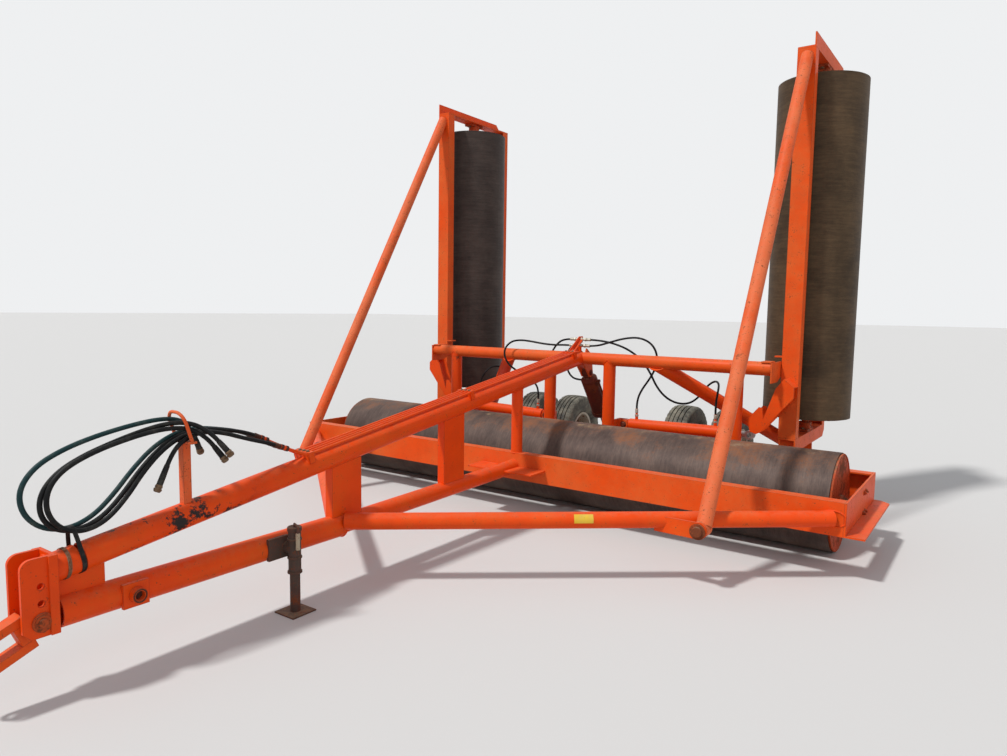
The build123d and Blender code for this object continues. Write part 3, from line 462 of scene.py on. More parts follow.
# Enamel: name, bump and its depth, then the values of paintInputs
paintInputs = ("Fresh", "Faded", "Fade", "Patches", "Specks", "Dust Amount")
paintFinishes = {
    "freshPaint": ("orange_enamel", 0.3, 0.003, (228, 70, 4), (218, 90, 24), 0.36, 0.05, 0.22, 0.12),
    "paintedHoseShadowedPaint": ("scuffed_enamel", 0.3, 0.003, (228, 70, 4), (218, 90, 24), 0.36, 0.05, 0.25, 0.12),
    "fadedPaint": ("faded_enamel", 0.3, 0.003, (224, 76, 10), (214, 98, 42), 0.44, 0.1, 0.3, 0.16),
    "wornPaint": ("worn_enamel", 0.3, 0.002, (220, 80, 24), (216, 112, 70), 0.5, 0.08, 0.42, 0.3),
    "castPaint": ("painted_casting", 0.5, 0.004, (196, 66, 18), (160, 76, 40), 0.5, 0.45, 0.7, 0.5),
    # painted shade: enamel darkened to the red-brown it shows in shadow, for the lift cylinder and the
    # cylinder base pins
    "shadedPaint": ("oily_red_brown", 0.4, 0.003, (104, 40, 26), (80, 44, 34), 0.5, 0.4, 0.6, 0.5),
    "oily": ("oily_black", 0.4, 0.003, (40, 32, 30), (58, 46, 40), 0.5, 0.3, 0.5, 0.2),
    "jackPaint": ("brown_jack_tube", 0.3, 0.002, (52, 42, 38), (78, 64, 56), 0.5, 0.3, 0.5, 0.4),
    "gripPaint": ("pale_handle", 0.2, 0.001, (196, 184, 162), (168, 152, 128), 0.5, 0.2, 0.4, 0.3),
    "blankDecal": ("blank_yellow_decal", 0.1, 0.001, (226, 188, 44), (206, 176, 92), 0.4, 0.1, 0.2, 0.2),
    "rimEnamel": ("dusty_rim_enamel", 0.3, 0.002, (206, 200, 184), (168, 158, 138), 0.5, 0.25, 0.4, 0.5)}
coats = {"freshPaint": 0.04, "paintedHoseShadowedPaint": 0.04, "fadedPaint": 0.04}
# stations along the upper tube between which the hoses' painted shadow lies
paintedHoseShadows = {"paintedHoseShadowedPaint": {"Painted Hose Shadow Start": drumY - 4.50, "Painted Hose Shadow End": drumY - 3.35}}

# Drum steel: name and stretch of the scale, then the values of steelInputs
steelInputs = ("Dark", "Light", "Rust", "Rust Amount", "Soil Amount", "Crown")
steelFinishes = {
    "centreSteel": ("centre_drum_steel", (7, 0.9, 0.9), (66, 54, 50), (112, 94, 84), (140, 88, 56),
                    0.12, 0.1, 0.765),
    "wingSteelR": ("brown_drum_steel", (0.9, 0.9, 9), (54, 42, 30), (98, 78, 56), (92, 60, 38),
                   0.2, 0.1, 4.05),
    "wingSteelL": ("grey_drum_steel", (0.9, 0.9, 9), (50, 42, 39), (84, 72, 66), (88, 62, 48),
                   0.16, 0.08, nowhere)}
steelRelief = {"bump": 0.4, "depth": 0.004, "metallic": 0.1}

# Rubber and bright metal: name, bump and its depth, metallic, then the values of dustInputs
# Edge is the strength of the painted highlight along the outer edges
dustInputs = ("Base", "Dust", "Amount", "Scale", "Edge")
dustFinishes = {
    "rubber": ("dusty_tyre_rubber", 0.25, 0.002, 0.0, (48, 48, 46), (146, 142, 126), 0.34, 7.0, 0.7),
    "strap": ("black_strap", 0.2, 0.001, 0.0, (22, 22, 23), (92, 88, 80), 0.15, 22.0, 0.2),
    "hose": ("hose_cover", 0.2, 0.001, 0.0, (18, 19, 20), (84, 80, 72), 0.05, 18.0, 0.0),
    "tealHose": ("teal_hose_cover", 0.2, 0.001, 0.0, (24, 52, 54), (92, 96, 88), 0.1, 18.0, 0.0),
    "zinc": ("dull_zinc", 0.2, 0.001, 0.7, (186, 182, 168), (140, 122, 98), 0.22, 40.0, 0.0),
    "boltSteel": ("weathered_bolts", 0.3, 0.001, 0.45, (150, 128, 104), (108, 70, 46), 0.4, 60.0, 0.0),
    "sleeve": ("coupler_sleeve", 0.3, 0.001, 0.2, (96, 70, 48), (140, 120, 98), 0.3, 30.0, 0.4),
    "chrome": ("hard_chrome", 0.05, 0.0005, 0.95, (190, 190, 188), (130, 118, 100), 0.12, 20.0, 0.0)}

paint, steel, dust = sunFadedPaint(), rolledSteel(), roadDust()
finishes = {}
for key, (name, bump, depth, *row) in paintFinishes.items():
    values = {**dict(zip(paintInputs, row)), **paintedHoseShadows.get(key, {})}
    finishes[key] = newMaterial(name, paint, values, bump, depth, coat=coats.get(key, 0.0))
for key, (name, stretch, *row) in steelFinishes.items():
    finishes[key] = newMaterial(name, steel, dict(zip(steelInputs, row)), **steelRelief, stretch=stretch)
for key, (name, bump, depth, metallic, *row) in dustFinishes.items():
    finishes[key] = newMaterial(name, dust, dict(zip(dustInputs, row)), bump, depth, metallic)
print("finishes", len(finishes))

# Finish of each CAD node, by the start of its name; the frame's own paint is the rest
nodeFinishes = {
    "freshPaint": ("tongue_lower", "hitch_head", "hitch_link", "frame_posts", "a_frame", "rear_braces",
                   "hydraulic_lines", "fold_barrel", "fold_lever"),
    "paintedHoseShadowedPaint": ("tongue_upper",), "wornPaint": ("hose_brackets", "wing_strut"),
    "shadedPaint": ("lift_barrel",),
    "castPaint": ("centre_drum_ends", "centre_bearings", "wing_drum_ends", "wing_bearings"),
    "jackPaint": ("jack_tube", "jack_leg"), "chrome": ("lift_rod", "fold_rod"), "sleeve": ("hose_couplers",),
    "rubber": ("tyres",), "rimEnamel": ("rims",), "hose": ("front_hose", "rear_hose", "lift_hose"),
    "wingSteelR": ("wing_drum_r",), "wingSteelL": ("wing_drum_l",)}
for name, node in nodes.items():
    finish = "centreSteel" if name == "centre_drum" else "fadedPaint"
    for key, starts in nodeFinishes.items():
        finish = key if name.startswith(starts) else finish
    node.data.materials.clear()
    node.data.materials.append(finishes[finish])
print("painted the CAD nodes")

photoCamera = {"focal": 723.1711, "width": 1007, "sensor": 36.0, "yaw": 0.6129, "pitch": 0.0956,
               "roll": 0.0149, "place": (3.537, -5.9029, 1.8146), "reach": 400}
yaw, pitch, roll = (photoCamera[key] for key in ("yaw", "pitch", "roll"))
forward = Vector((-sin(yaw) * cos(pitch), cos(yaw) * cos(pitch), -sin(pitch)))
right = Vector((cos(yaw), sin(yaw), 0))
above = right.cross(forward)
tiltedRight = cos(roll) * right + sin(roll) * above
tiltedUp = cos(roll) * above - sin(roll) * right
cameraData = bpy.data.cameras.new("photo_camera")
cameraData.sensor_width = photoCamera["sensor"]
cameraData.lens = photoCamera["focal"] * photoCamera["sensor"] / photoCamera["width"]
cameraData.clip_end = photoCamera["reach"]
camera = bpy.data.objects.new("photo_camera", cameraData)
bpy.context.scene.collection.objects.link(camera)
turned = Matrix((tiltedRight, tiltedUp, -forward)).transposed().to_4x4()
camera.matrix_world = Matrix.Translation(at(photoCamera["place"])) @ turned
bpy.context.scene.camera = camera

studio = {"floor": (0.60, 0.59, 0.57), "floorRough": 0.9, "floorSize": 260.0, "sky": (0.86, 0.87, 0.88),
          "skyLight": (0.90, 0.93, 1.0), "skyStrength": 0.50,
          "lamps": {"key": (2.7, 5.0, (-0.30, -0.62, 1.0)), "fill": (0.35, 60.0, (1.0, -0.45, 0.5))}}
half = studio["floorSize"] / 2
floorMesh = bpy.data.meshes.new("floor")
floorMesh.from_pydata([(-half, -half, 0), (half, -half, 0), (half, half, 0), (-half, half, 0)], [],
                      [(0, 1, 2, 3)])
floor = bpy.data.objects.new("floor", floorMesh)
bpy.context.scene.collection.objects.link(floor)
floorMaterial = bpy.data.materials.new("pale_floor")
floorMaterial.use_nodes = True
floorSurface = floorMaterial.node_tree.nodes["Principled BSDF"]
floorSurface.inputs["Base Color"].default_value = (*studio["floor"], 1)
floorSurface.inputs["Roughness"].default_value = studio["floorRough"]
floorMesh.materials.append(floorMaterial)
world = bpy.data.worlds.new("studio")
bpy.context.scene.world = world
world.use_nodes = True
sky = world.node_tree
sky.nodes.clear()
rays = place(sky, "ShaderNodeLightPath").outputs
mirroredRays = maths(sky, "MAXIMUM", rays["Is Glossy Ray"], rays["Is Transmission Ray"])
seen = maths(sky, "MAXIMUM", rays["Is Camera Ray"], mirroredRays)
lit = place(sky, "ShaderNodeBackground",
            {"Color": (*studio["skyLight"], 1), "Strength": studio["skyStrength"]})
shown = place(sky, "ShaderNodeBackground", {"Color": (*studio["sky"], 1), "Strength": 1.0})
bothSkies = place(sky, "ShaderNodeMixShader", {0: seen, 1: lit.outputs[0], 2: shown.outputs[0]})
place(sky, "ShaderNodeOutputWorld", {0: bothSkies.outputs[0]})
for name, (strength, spread, source) in studio["lamps"].items():
    lamp = bpy.data.lights.new(name, "SUN")
    lamp.energy = strength
    lamp.angle = radians(spread)
    lampObject = bpy.data.objects.new(name, lamp)
    lampObject.rotation_mode = "QUATERNION"
    lampObject.rotation_quaternion = Vector(source).to_track_quat("Z", "Y")
    bpy.context.scene.collection.objects.link(lampObject)
bpy.context.scene.view_settings.view_transform = "Standard"
print("camera and studio")

# Upper drawbar tube, and the lines on it
upperTube = {"front": (0, -4.515, 0.5902), "rear": (0, 0.447, 1.335), "radius": 0.069, "lineUp": 0.091,
             "lineFrom": -3.010}
tubeRun = np.subtract(upperTube["rear"], upperTube["front"])
tubeSlope = np.arctan2(tubeRun[2], tubeRun[1])
tubeUp = np.array((0, -sin(tubeSlope), cos(tubeSlope)))


def onTube(x, y, up):
    # point above the upper drawbar tube's axis, square to the tube
    axisZ = upperTube["front"][2] + (y - upperTube["front"][1]) * np.tan(tubeSlope)
    return (x, y - up * sin(tubeSlope), axisZ + up * cos(tubeSlope))


def lineEnd(x, y, z, run):
    # the front fitting of one steel line, and the first straight run of its hose
    end = np.array((x, y, z))
    back = end - onTube(x, upperTube["lineFrom"], upperTube["lineUp"])
    return [tuple(end), tuple(end + back / np.linalg.norm(back) * run)]


foldCylinder = {"base": (0.453, 0.590, 0.700), "tilt": radians(1.1768), "portHigh": 0.1583,
                "ports": (0.121, 0.902), "seat": 0.083, "crimpAt": 0.115, "nut": 0.018,
                "gland": 0.985, "rod": 0.028}
overBrace = [(.935, .680, .935), (1.030, .750, .930), (1.095, .822, .985), (1.140, .852, 1.065),
             (1.200, .858, 1.135), (1.270, .815, 1.165), (1.325, .735, 1.145), (1.345, .650, 1.075)]


def portTop(side, station, up=0.0):
    # point straight above a port of the fold cylinder, from the seat of its hose
    c = foldCylinder
    high = c["portHigh"] + up
    return (side * (c["base"][0] + station * cos(c["tilt"]) - high * sin(c["tilt"])), c["base"][1],
            c["base"][2] + station * sin(c["tilt"]) + high * cos(c["tilt"]))


hoseKinds = {"front": {"diameter": 0.024, "end": "connector", "cover": "hose", "grip": 0.070},
             "rear": {"diameter": 0.020, "end": "object", "cover": "hose"}}
hoses = {
    "front_hose_a": {"kind": "front", "length": 2.525, "cover": "tealHose", "points": [
        *lineEnd(-.054, -3.330, 1.052, .09), (-.050, -3.560, 1.126), (-.044, -3.700, 1.150),
        (-.042, -3.820, 1.136), (-.040, -3.940, 1.080), (-.037, -4.050, .985), (-.034, -4.150, .875),
        (-.032, -4.250, .790), (-.032, -4.365, .752), (-.034, -4.480, .782), (-.038, -4.552, .866),
        (-.040, -4.562, .975), (-.038, -4.495, 1.070), (-.036, -4.375, 1.132), (-.034, -4.225, 1.176),
        (-.034, -4.050, 1.208), (-.038, -3.900, 1.222), (-.052, -3.785, 1.206), (-.084, -3.700, 1.145),
        (-.094, -3.672, 1.085)]},
    "front_hose_b": {"kind": "front", "length": 2.415, "points": [
        *lineEnd(-.018, -3.310, 1.046, .09), (-.020, -3.545, 1.122), (-.015, -3.690, 1.146),
        (-.014, -3.810, 1.130), (-.012, -3.925, 1.072), (-.009, -4.030, .978), (-.006, -4.125, .868),
        (-.005, -4.220, .782), (-.005, -4.330, .744), (-.004, -4.435, .768), (-.003, -4.495, .848),
        (-.004, -4.490, .950), (-.006, -4.415, 1.036), (-.006, -4.300, 1.094), (-.004, -4.160, 1.140),
        (0, -4.010, 1.180), (.014, -3.880, 1.204), (.056, -3.775, 1.196), (.108, -3.700, 1.135),
        (.126, -3.672, 1.092)]},
    "front_hose_c": {"kind": "front", "length": 2.440, "points": [
        *lineEnd(.018, -3.240, .996, .08), (.018, -3.455, 1.068), (.014, -3.570, 1.112),
        (.013, -3.700, 1.140), (.014, -3.815, 1.126), (.018, -3.925, 1.068), (.020, -4.025, .975),
        (.022, -4.110, .866), (.022, -4.205, .776), (.022, -4.296, .743), (.022, -4.380, .755),
        (.022, -4.447, .807), (.022, -4.479, .886), (.022, -4.467, .970), (.022, -4.415, 1.037),
        (.022, -4.337, 1.082), (.024, -4.234, 1.120), (.026, -4.108, 1.151), (.030, -3.990, 1.172),
        (.035, -3.890, 1.180), (.050, -3.785, 1.168), (.082, -3.710, 1.110), (.096, -3.680, 1.062)]},
    "front_hose_d": {"kind": "front", "length": 0.790, "grip": 0.106, "points": [
        *lineEnd(.054, -3.225, .988, .08), (.052, -3.440, 1.062), (.044, -3.560, 1.108),
        (.041, -3.685, 1.138), (.042, -3.793, 1.124), (.048, -3.880, 1.068), (.056, -3.920, .995)]},
    "rear_hose_near_r": {"kind": "rear", "length": 1.413, "points": [
        (.040, .505, 1.455), (.150, .505, 1.455), (.300, .500, 1.500), (.450, .510, 1.545),
        (.600, .530, 1.560), (.725, .550, 1.505), (.782, .562, 1.390), (.760, .568, 1.260),
        (.690, .575, 1.145), (.618, .584, 1.050), portTop(1, .121, .080), portTop(1, .121)]},
    "rear_hose_far_r": {"kind": "rear", "length": 2.064, "points": [
        (.040, .520, 1.517), (.160, .520, 1.517), (.320, .555, 1.490), (.480, .572, 1.432),
        (.610, .595, 1.335), (.690, .615, 1.215), (.750, .625, 1.090), (.835, .645, .990), *overBrace,
        portTop(1, .902, .100), portTop(1, .902)]},
    "rear_hose_near_l": {"kind": "rear", "length": 1.529, "points": [
        (-.110, .505, 1.455), (-.220, .505, 1.455), (-.340, .500, 1.450), (-.470, .494, 1.458),
        (-.600, .475, 1.478), (-.705, .430, 1.490), (-.775, .365, 1.475), (-.815, .305, 1.410),
        (-.810, .285, 1.320), (-.765, .305, 1.235), (-.705, .360, 1.170), (-.650, .435, 1.125),
        (-.591, .545, 1.042), portTop(-1, .121, .100), portTop(-1, .121)]},
    "rear_hose_far_l": {"kind": "rear", "length": 1.986, "points": [
        (-.110, .520, 1.517), (-.215, .520, 1.517), (-.320, .548, 1.470), (-.400, .570, 1.375),
        (-.460, .585, 1.260), (-.540, .600, 1.150), (-.650, .615, 1.060), (-.790, .640, .985),
        *[(-x, y, z) for x, y, z in overBrace], portTop(-1, .902, .100), portTop(-1, .902)]},
    "lift_hose": {"kind": "rear", "length": 0.761, "points": [
        onTube(-.054, .320, upperTube["lineUp"]), onTube(-.054, .390, upperTube["lineUp"]),
        (-.125, .485, 1.438), (-.198, .560, 1.388), (-.256, .622, 1.303), (-.266, .655, 1.214),
        (-.238, .667, 1.139), (-.172, .667, 1.093), (-.0923, .667, 1.093)]}}
coupler = {"radius": 0.016, "waist": 0.16, "waistTurn": 0.55,
           "rib": 0.035, "ribStep": 0.0088, "perMetre": 480}
couplerSocket = [(0, 0), (0, 0.0165), (0.004, 0.0185), (0.012, 0.0185), (0.013, 0.0160), (0.017, 0.0160),
                 (0.018, 0.0200), (0.028, 0.0200), (0.029, 0.0175), (0.035, 0.0165), (0.036, 0.0130),
                 (0.022, 0.0115), (0.022, 0)]


def addCoupler(name, facts):
    # a moulded grip, waisted and ribbed, with a steel socket and its lock ring: radius as a function of the
    # distance along it
    end, before = (np.array(facts["points"][k]) for k in (-1, -2))
    direction = end - before
    long = facts["grip"]
    c = coupler
    along = np.linspace(0, long, int(long * c["perMetre"]))
    waist = 1 - c["waist"] + c["waist"] * np.sin(along / long * pi * c["waistTurn"])
    ribs = c["rib"] * np.sin(along / c["ribStep"] * 2 * pi)
    body = np.column_stack([along, c["radius"] * np.minimum(waist + ribs, 1)])
    shape = revolve(np.vstack([(0, 0), body, (long, 0)]), end, direction, 28)
    grip = addPiece(name + "_grip", shape, "strap", "fitting_steel", instead="hose_couplers", angle=50)
    seat = end + direction / np.linalg.norm(direction) * long
    socket = addPiece(name + "_socket", revolve(couplerSocket, seat, direction, 28), "sleeve",
                      "fitting_steel")
    return [grip, socket]


def addHose(name, facts):
    # a NURBS line with the route's points as its control points, given the hose's thickness
    facts = {**hoseKinds[facts["kind"]], **facts}
    points = at(facts["points"])
    curve = bpy.data.curves.new(name + "_cover", "CURVE")
    curve.dimensions = "3D"
    curve.resolution_u = 6
    curve.bevel_depth = facts["diameter"] / 2
    curve.bevel_resolution = 3
    curve.use_fill_caps = True
    spline = curve.splines.new("NURBS")
    spline.points.add(len(points) - 1)
    spline.points.foreach_set("co", np.column_stack([points, np.ones(len(points))]).ravel())
    spline.order_u = 3
    spline.use_endpoint_u = True
    piece = bpy.data.objects.new(name + "_cover", curve)
    bpy.context.scene.collection.objects.link(piece)
    curve.materials.append(finishes[facts["cover"]])
    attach(piece, "frame")
    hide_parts(name)
    pieces = addCoupler(name + "_coupler", facts) if facts["end"] == "connector" else ()


for name, facts in hoses.items():
    addHose(name, facts)
print("hoses", len(hoses))

# Ribbed implement tyres
tyre = {"radius": 0.400, "crown": 0.104, "crownDrop": 0.006, "grooves": (-0.070, -0.024, 0.024, 0.070),
        "grooveHalf": 0.0075, "grooveDepth": 0.014, "ribs": (-0.047, 0.0, 0.047), "shoulder": (0.09, 0.35),
        "notches": 40, "notchDepth": 0.006, "notchTurn": 0.4,
        "wheels": (0.690, 1.190), "y": 1.590}
tyreWall = [(0.116, 0.388), (0.126, 0.376), (0.130, 0.366), (0.1315, 0.352), (0.1350, 0.340), (0.1335, 0.336),
            (0.1365, 0.322), (0.1385, 0.305), (0.1375, 0.290), (0.1345, 0.274), (0.1350, 0.270),
            (0.1300, 0.256), (0.1190, 0.236), (0.1120, 0.222), (0.1060, 0.214), (0.1060, 0.191)]
tyreInside = [(0.084, 0.191), (0.117, 0.300), (0.092, 0.372), (-0.092, 0.372), (-0.117, 0.300),
              (-0.084, 0.191)]


def notched(along, radius, angle):
    # shoulder blocks: every other step round the shoulder lies lower
    out, low = tyre["shoulder"]
    raised = np.sin(tyre["notches"] * angle + tyre["notchTurn"]) > 0
    return np.where((np.abs(along) > out) & (radius > low) & raised, -tyre["notchDepth"], 0.0)


def tyreShape(x):
    # tread: radius less drop * (a / crown)^2, less the depth inside each groove; then shoulder, side wall
    # and bead
    grooves, half = tyre["grooves"], tyre["grooveHalf"]
    stations = {-tyre["crown"], tyre["crown"], *tyre["ribs"]}
    for g in grooves:
        stations.update((g - half, g - 0.6 * half, g + 0.6 * half, g + half))
    tread = []
    for a in sorted(stations):
        depth = tyre["grooveDepth"] if any(abs(a - g) < 0.8 * half for g in grooves) else 0
        tread.append((a, tyre["radius"] - tyre["crownDrop"] * (a / tyre["crown"]) ** 2 - depth))
    profile = tread + tyreWall + tyreInside + [(-a, r) for a, r in reversed(tyreWall)] + tread[:1]
    return revolve(profile, (x, tyre["y"], tyre["radius"]), alongX, tyre["notches"] * 4, notched)


addBoth("ribbed_tyres_", joined([tyreShape(x) for x in tyre["wheels"]]), "rubber", "tyre_rubber", "wheels_",
        "tyres_", angle=40)

wheelNuts = {"circle": 0.125, "count": 6, "face": 0.068, "size": 0.014, "axleNut": 0.034, "axleFace": 0.062}
shapes = []
for x in tyre["wheels"]:
    for t in np.arange(wheelNuts["count"]) * 2 * pi / wheelNuts["count"]:
        spot = (x + wheelNuts["face"], tyre["y"] + wheelNuts["circle"] * cos(t),
                tyre["radius"] + wheelNuts["circle"] * sin(t))
        shapes.append(nutEnd(spot, alongX, wheelNuts["size"]))
addBoth("wheel_nuts_", joined(shapes), "boltSteel", "fitting_steel", "wheels_")
shapes = [hexHead((x + sign * wheelNuts["axleFace"], tyre["y"], tyre["radius"]), sign * alongX,
                  wheelNuts["axleNut"])
          for x, sign in zip(tyre["wheels"][::-1], (1, -1))]
addBoth("axle_nuts_", joined(shapes), "boltSteel", "fitting_steel", "transport")
print("wheels")

# Drum ends: a disc almost flush with the drum's rim, the boss round the shaft, and the weld round the disc
drumEnd = {"radius": 0.3685, "thick": 0.012, "recess": 0.003, "boss": 0.060, "bossLong": 0.030,
           "shaft": 0.0305, "centreHalf": 2.541, "axisZ": 0.381, "wingHalf": 1.5035, "wingMid": 2.3675,
           "wingAxis": (1.985, 1.247)}
drumWeld = {"size": 0.0055, "centre": (2.5385, -2.5385), "wing": (0.8665, 3.8685), "points": 180}
d = drumEnd
profile = [(-d["thick"], d["shaft"]), (-d["thick"], d["radius"]), (-0.002, d["radius"]),
           (0, d["radius"] - 0.002), (0, d["boss"] + 0.006), (0.004, d["boss"]),
           (d["bossLong"] - 0.003, d["boss"]), (d["bossLong"], d["boss"] - 0.003),
           (d["bossLong"], d["shaft"]), (-d["thick"], d["shaft"])]
ends = [revolve(profile, (sign * (d["centreHalf"] - d["recess"]), 0, d["axisZ"]), sign * alongX, 96)
        for sign in (1, -1)]
addPiece("centre_drum_discs", joined(ends), "castPaint", "drum_steel", "centre_drum")
ends = []
for sign in (1, -1):
    middle = (*d["wingAxis"], d["wingMid"] + sign * (d["wingHalf"] - d["recess"]))
    ends.append(revolve(profile, middle, sign * alongZ, 96))
addBoth("wing_drum_discs_", joined(ends), "castPaint", "drum_steel", "wing_drum_")
beads = [weld(circle((x, 0, d["axisZ"]), alongX, d["radius"], drumWeld["points"]), drumWeld["size"])
         for x in drumWeld["centre"]]
addPiece("centre_drum_welds", joined(beads), "castPaint", "drum_steel", "centre_drum", angle=80)
beads = [weld(circle((*d["wingAxis"], z), alongZ, d["radius"], drumWeld["points"]), drumWeld["size"])
         for z in drumWeld["wing"]]
addBoth("wing_drum_welds_", joined(beads), "castPaint", "drum_steel", "wing_drum_", angle=80)

# Bearings of the centre drum: cast flange and hub, bolts through the end plate, grease nipple and shaft
# collar
castBearing = {"flange": ((-.062, .315), (.062, .505)), "corner": 0.020, "thick": 0.024, "hubReach": 0.084,
               "hubR": 0.062, "bore": 0.0305, "face": 2.665, "outside": 2.705, "z": 0.381, "size": 0.0155,
               "bolts": ((-.036, -.044), (.036, -.044), (-.036, .108), (.036, .108)), "collarAt": 2.557}


def plateAt(outline, low, high, middle):
    # flat plate square to X: the outline in (y, z), from x = low to x = high, closed towards its middle
    outline, middle = np.array(outline), np.array(middle)
    inner = middle + 1e-4 * (outline - middle)
    rings = ((low, inner), (low, outline), (high, outline), (high, inner))
    return grid(np.array([[(x, *p) for p in ring] for x, ring in rings]), wrapV=True)


c = castBearing
(y0, z0), (y1, z1) = c["flange"]
cut = c["corner"]
outline = [(y0 + cut, z0), (y1 - cut, z0), (y1, z0 + cut), (y1, z1 - cut), (y1 - cut, z1), (y0 + cut, z1),
           (y0, z1 - cut), (y0, z0 + cut)]
flangeX = (c["face"], c["face"] + c["thick"])
hubLong = c["hubReach"] - c["thick"]
hub = [(0, c["bore"]), (0, c["hubR"] - 0.010), (0.004, c["hubR"] - 0.006),
       (hubLong - 0.012, c["hubR"] - 0.002), (hubLong, c["hubR"] + 0.004), (hubLong, c["bore"]),
       (0, c["bore"])]
shapes = [plateAt(outline, *flangeX, (0, c["z"])),
          revolve(hub, (flangeX[1] - c["hubReach"], 0, c["z"]), alongX, 40)]
addBoth("cast_bearing_", joined(shapes), "castPaint", "bearing_paint", instead="centre_bearings", angle=30,
        bevel=0.003)
shapes = []
for y, z in c["bolts"]:
    shapes.append(hexHead((c["face"], y, c["z"] + z), -alongX, c["size"]))
    shapes.append(nutEnd((c["outside"], y, c["z"] + z), alongX, c["size"]))
shapes.append(nipple((c["face"] - 0.050, 0, c["z"] + 0.052), alongZ))
addBoth("centre_bearing_bolts_", joined(shapes), "castPaint", "fitting_steel")
collar = [(0, 0.0302), (0, 0.044), (0.003, 0.046), (0.018, 0.046), (0.021, 0.044), (0.021, 0.0302)]
addBoth("centre_shaft_collar_", revolve(collar, (c["collarAt"], 0, c["z"]), alongX, 28), "boltSteel",
        "fitting_steel", "centre_drum")

wingBearing = {"ends": ((0.740, 0.700, 1), (3.995, 4.035, -1)), "bolt": 0.084, "size": 0.0155}
shapes = []
for face, outside, inward in wingBearing["ends"]:
    for y in (-wingBearing["bolt"], wingBearing["bolt"]):
        axisX, axisY = d["wingAxis"]
        shapes.append(hexHead((axisX, axisY + y, face), inward * alongZ, wingBearing["size"]))
        shapes.append(nutEnd((axisX, axisY + y, outside), -inward * alongZ, wingBearing["size"]))
addBoth("wing_bearing_bolts_", joined(shapes), "boltSteel", "fitting_steel", "wing_")

# Weld beads round the joints of the frame's tubes
frameWeld = {"size": 0.0055, "crossAt": (0, 0.447, 1.335), "crossR": 0.060,
             "posts": (0.336, 1.575, -0.336, -1.575), "postR": 0.060, "postFoot": 0.560,
             "braceFoot": (1.960, 1.560, 0.436), "braceTop": (0.850, 0.445, 1.305), "braceR": 0.065,
             "headBack": -4.483, "lowTube": (0.385, 0.075), "splice": -2.720,
             "rearTube": ((0, -2.730, 0.385), (0, -0.685, 0.430), 0.062),
             "arm": ((0.050, -2.720, 0.417), (2.620, -0.705, 0.434), 0.055), "beamFront": -0.706,
             "beamTop": 0.550, "beamHalf": 2.698, "smallPost": (-0.655, 0.050)}
w = frameWeld
rearAt, rearTo, rearR = w["rearTube"]
postY, postR = w["smallPost"]
lowZ, lowR = w["lowTube"]
paths = []
for x in w["posts"]:
    paths.append(tubeJoint((x, w["crossAt"][1], 1.0), alongZ, w["postR"], w["crossAt"], alongX, w["crossR"]))
    paths.append(circle((x, w["crossAt"][1], w["postFoot"]), alongZ, w["postR"]))
for sign in (1, -1):
    foot, top, armFront, armBack = (np.array(p) * (sign, 1, 1) for p in
                                    (w["braceFoot"], w["braceTop"], *w["arm"][:2]))
    paths.append(tubeJoint(foot, top - foot, w["braceR"], w["crossAt"], alongX, w["crossR"]))
    armR = w["arm"][2]
    paths.append(tubeJoint(armBack, armFront - armBack, armR, rearAt, np.subtract(rearTo, rearAt), rearR))
    lean = (armBack - armFront) / np.linalg.norm(armBack - armFront)
    end = circle((0, 0, 0), alongY, armR) * (1 / lean[1], 1, 1) + (armBack[0], w["beamFront"], armBack[2])
    end[:, 0] = np.clip(end[:, 0], -w["beamHalf"], w["beamHalf"])
    paths.append(end)
paths.append(tubeJoint((0, postY, 0.60), alongZ, postR, upperTube["front"], tubeRun, upperTube["radius"]))
paths.append(circle((0, postY, w["beamTop"]), alongZ, postR))
paths.append(circle(onTube(0, w["headBack"], 0), alongY, upperTube["radius"]))
paths.append(circle((0, w["headBack"], lowZ), alongY, lowR))
paths.append(circle((0, w["splice"], lowZ), alongY, lowR))
paths.append(circle((0, w["beamFront"], rearTo[2]), alongY, rearR))
beads = [weld(path, w["size"], k) for k, path in enumerate(paths)]
addPiece("frame_welds", joined(beads), "freshPaint", "frame_paint", angle=80)
print("bearings and welds")

# Braces from the rear hinges up to the cross tube: the lower ring is flat, the upper one follows the cross
# tube's wall
foot, top = np.array(w["braceFoot"]), np.array(w["braceTop"])
upper = tubeJoint(foot, top - foot, w["braceR"], w["crossAt"], alongX, w["crossR"] - 0.004)
lower = circle(foot, top - foot, w["braceR"])
lowerMiddle, upperMiddle = (np.repeat(ring.mean(0)[None], len(ring), 0) for ring in (lower, upper))
addBoth("brace_tube_", grid(np.stack([lowerMiddle, lower, upper, upperMiddle]), wrapV=True), "freshPaint",
        "frame_paint", instead="rear_braces", angle=40)

# Front end of the upper drawbar tube, up to the hitch head, and the gusset between the lower tube and the
# front beam
tubeEnd = {"from": -4.352, "to": -4.487, "radius": 0.0691}
axisFrom, axisTo = (np.array(onTube(0, tubeEnd[key], 0)) for key in ("from", "to"))
endTube = rod(tubeEnd["radius"], np.linalg.norm(axisTo - axisFrom), axisFrom, axisTo - axisFrom, 72)
addPiece("tongue_front", endTube, "paintedHoseShadowedPaint", "frame_paint")
gusset = {"low": (-0.332, -0.930, 0.4235), "high": (0.332, -0.7055, 0.4365)}
addPiece("gusset_plate", boxAt(gusset["low"], gusset["high"]), "freshPaint", "frame_paint", bevel=0.002)

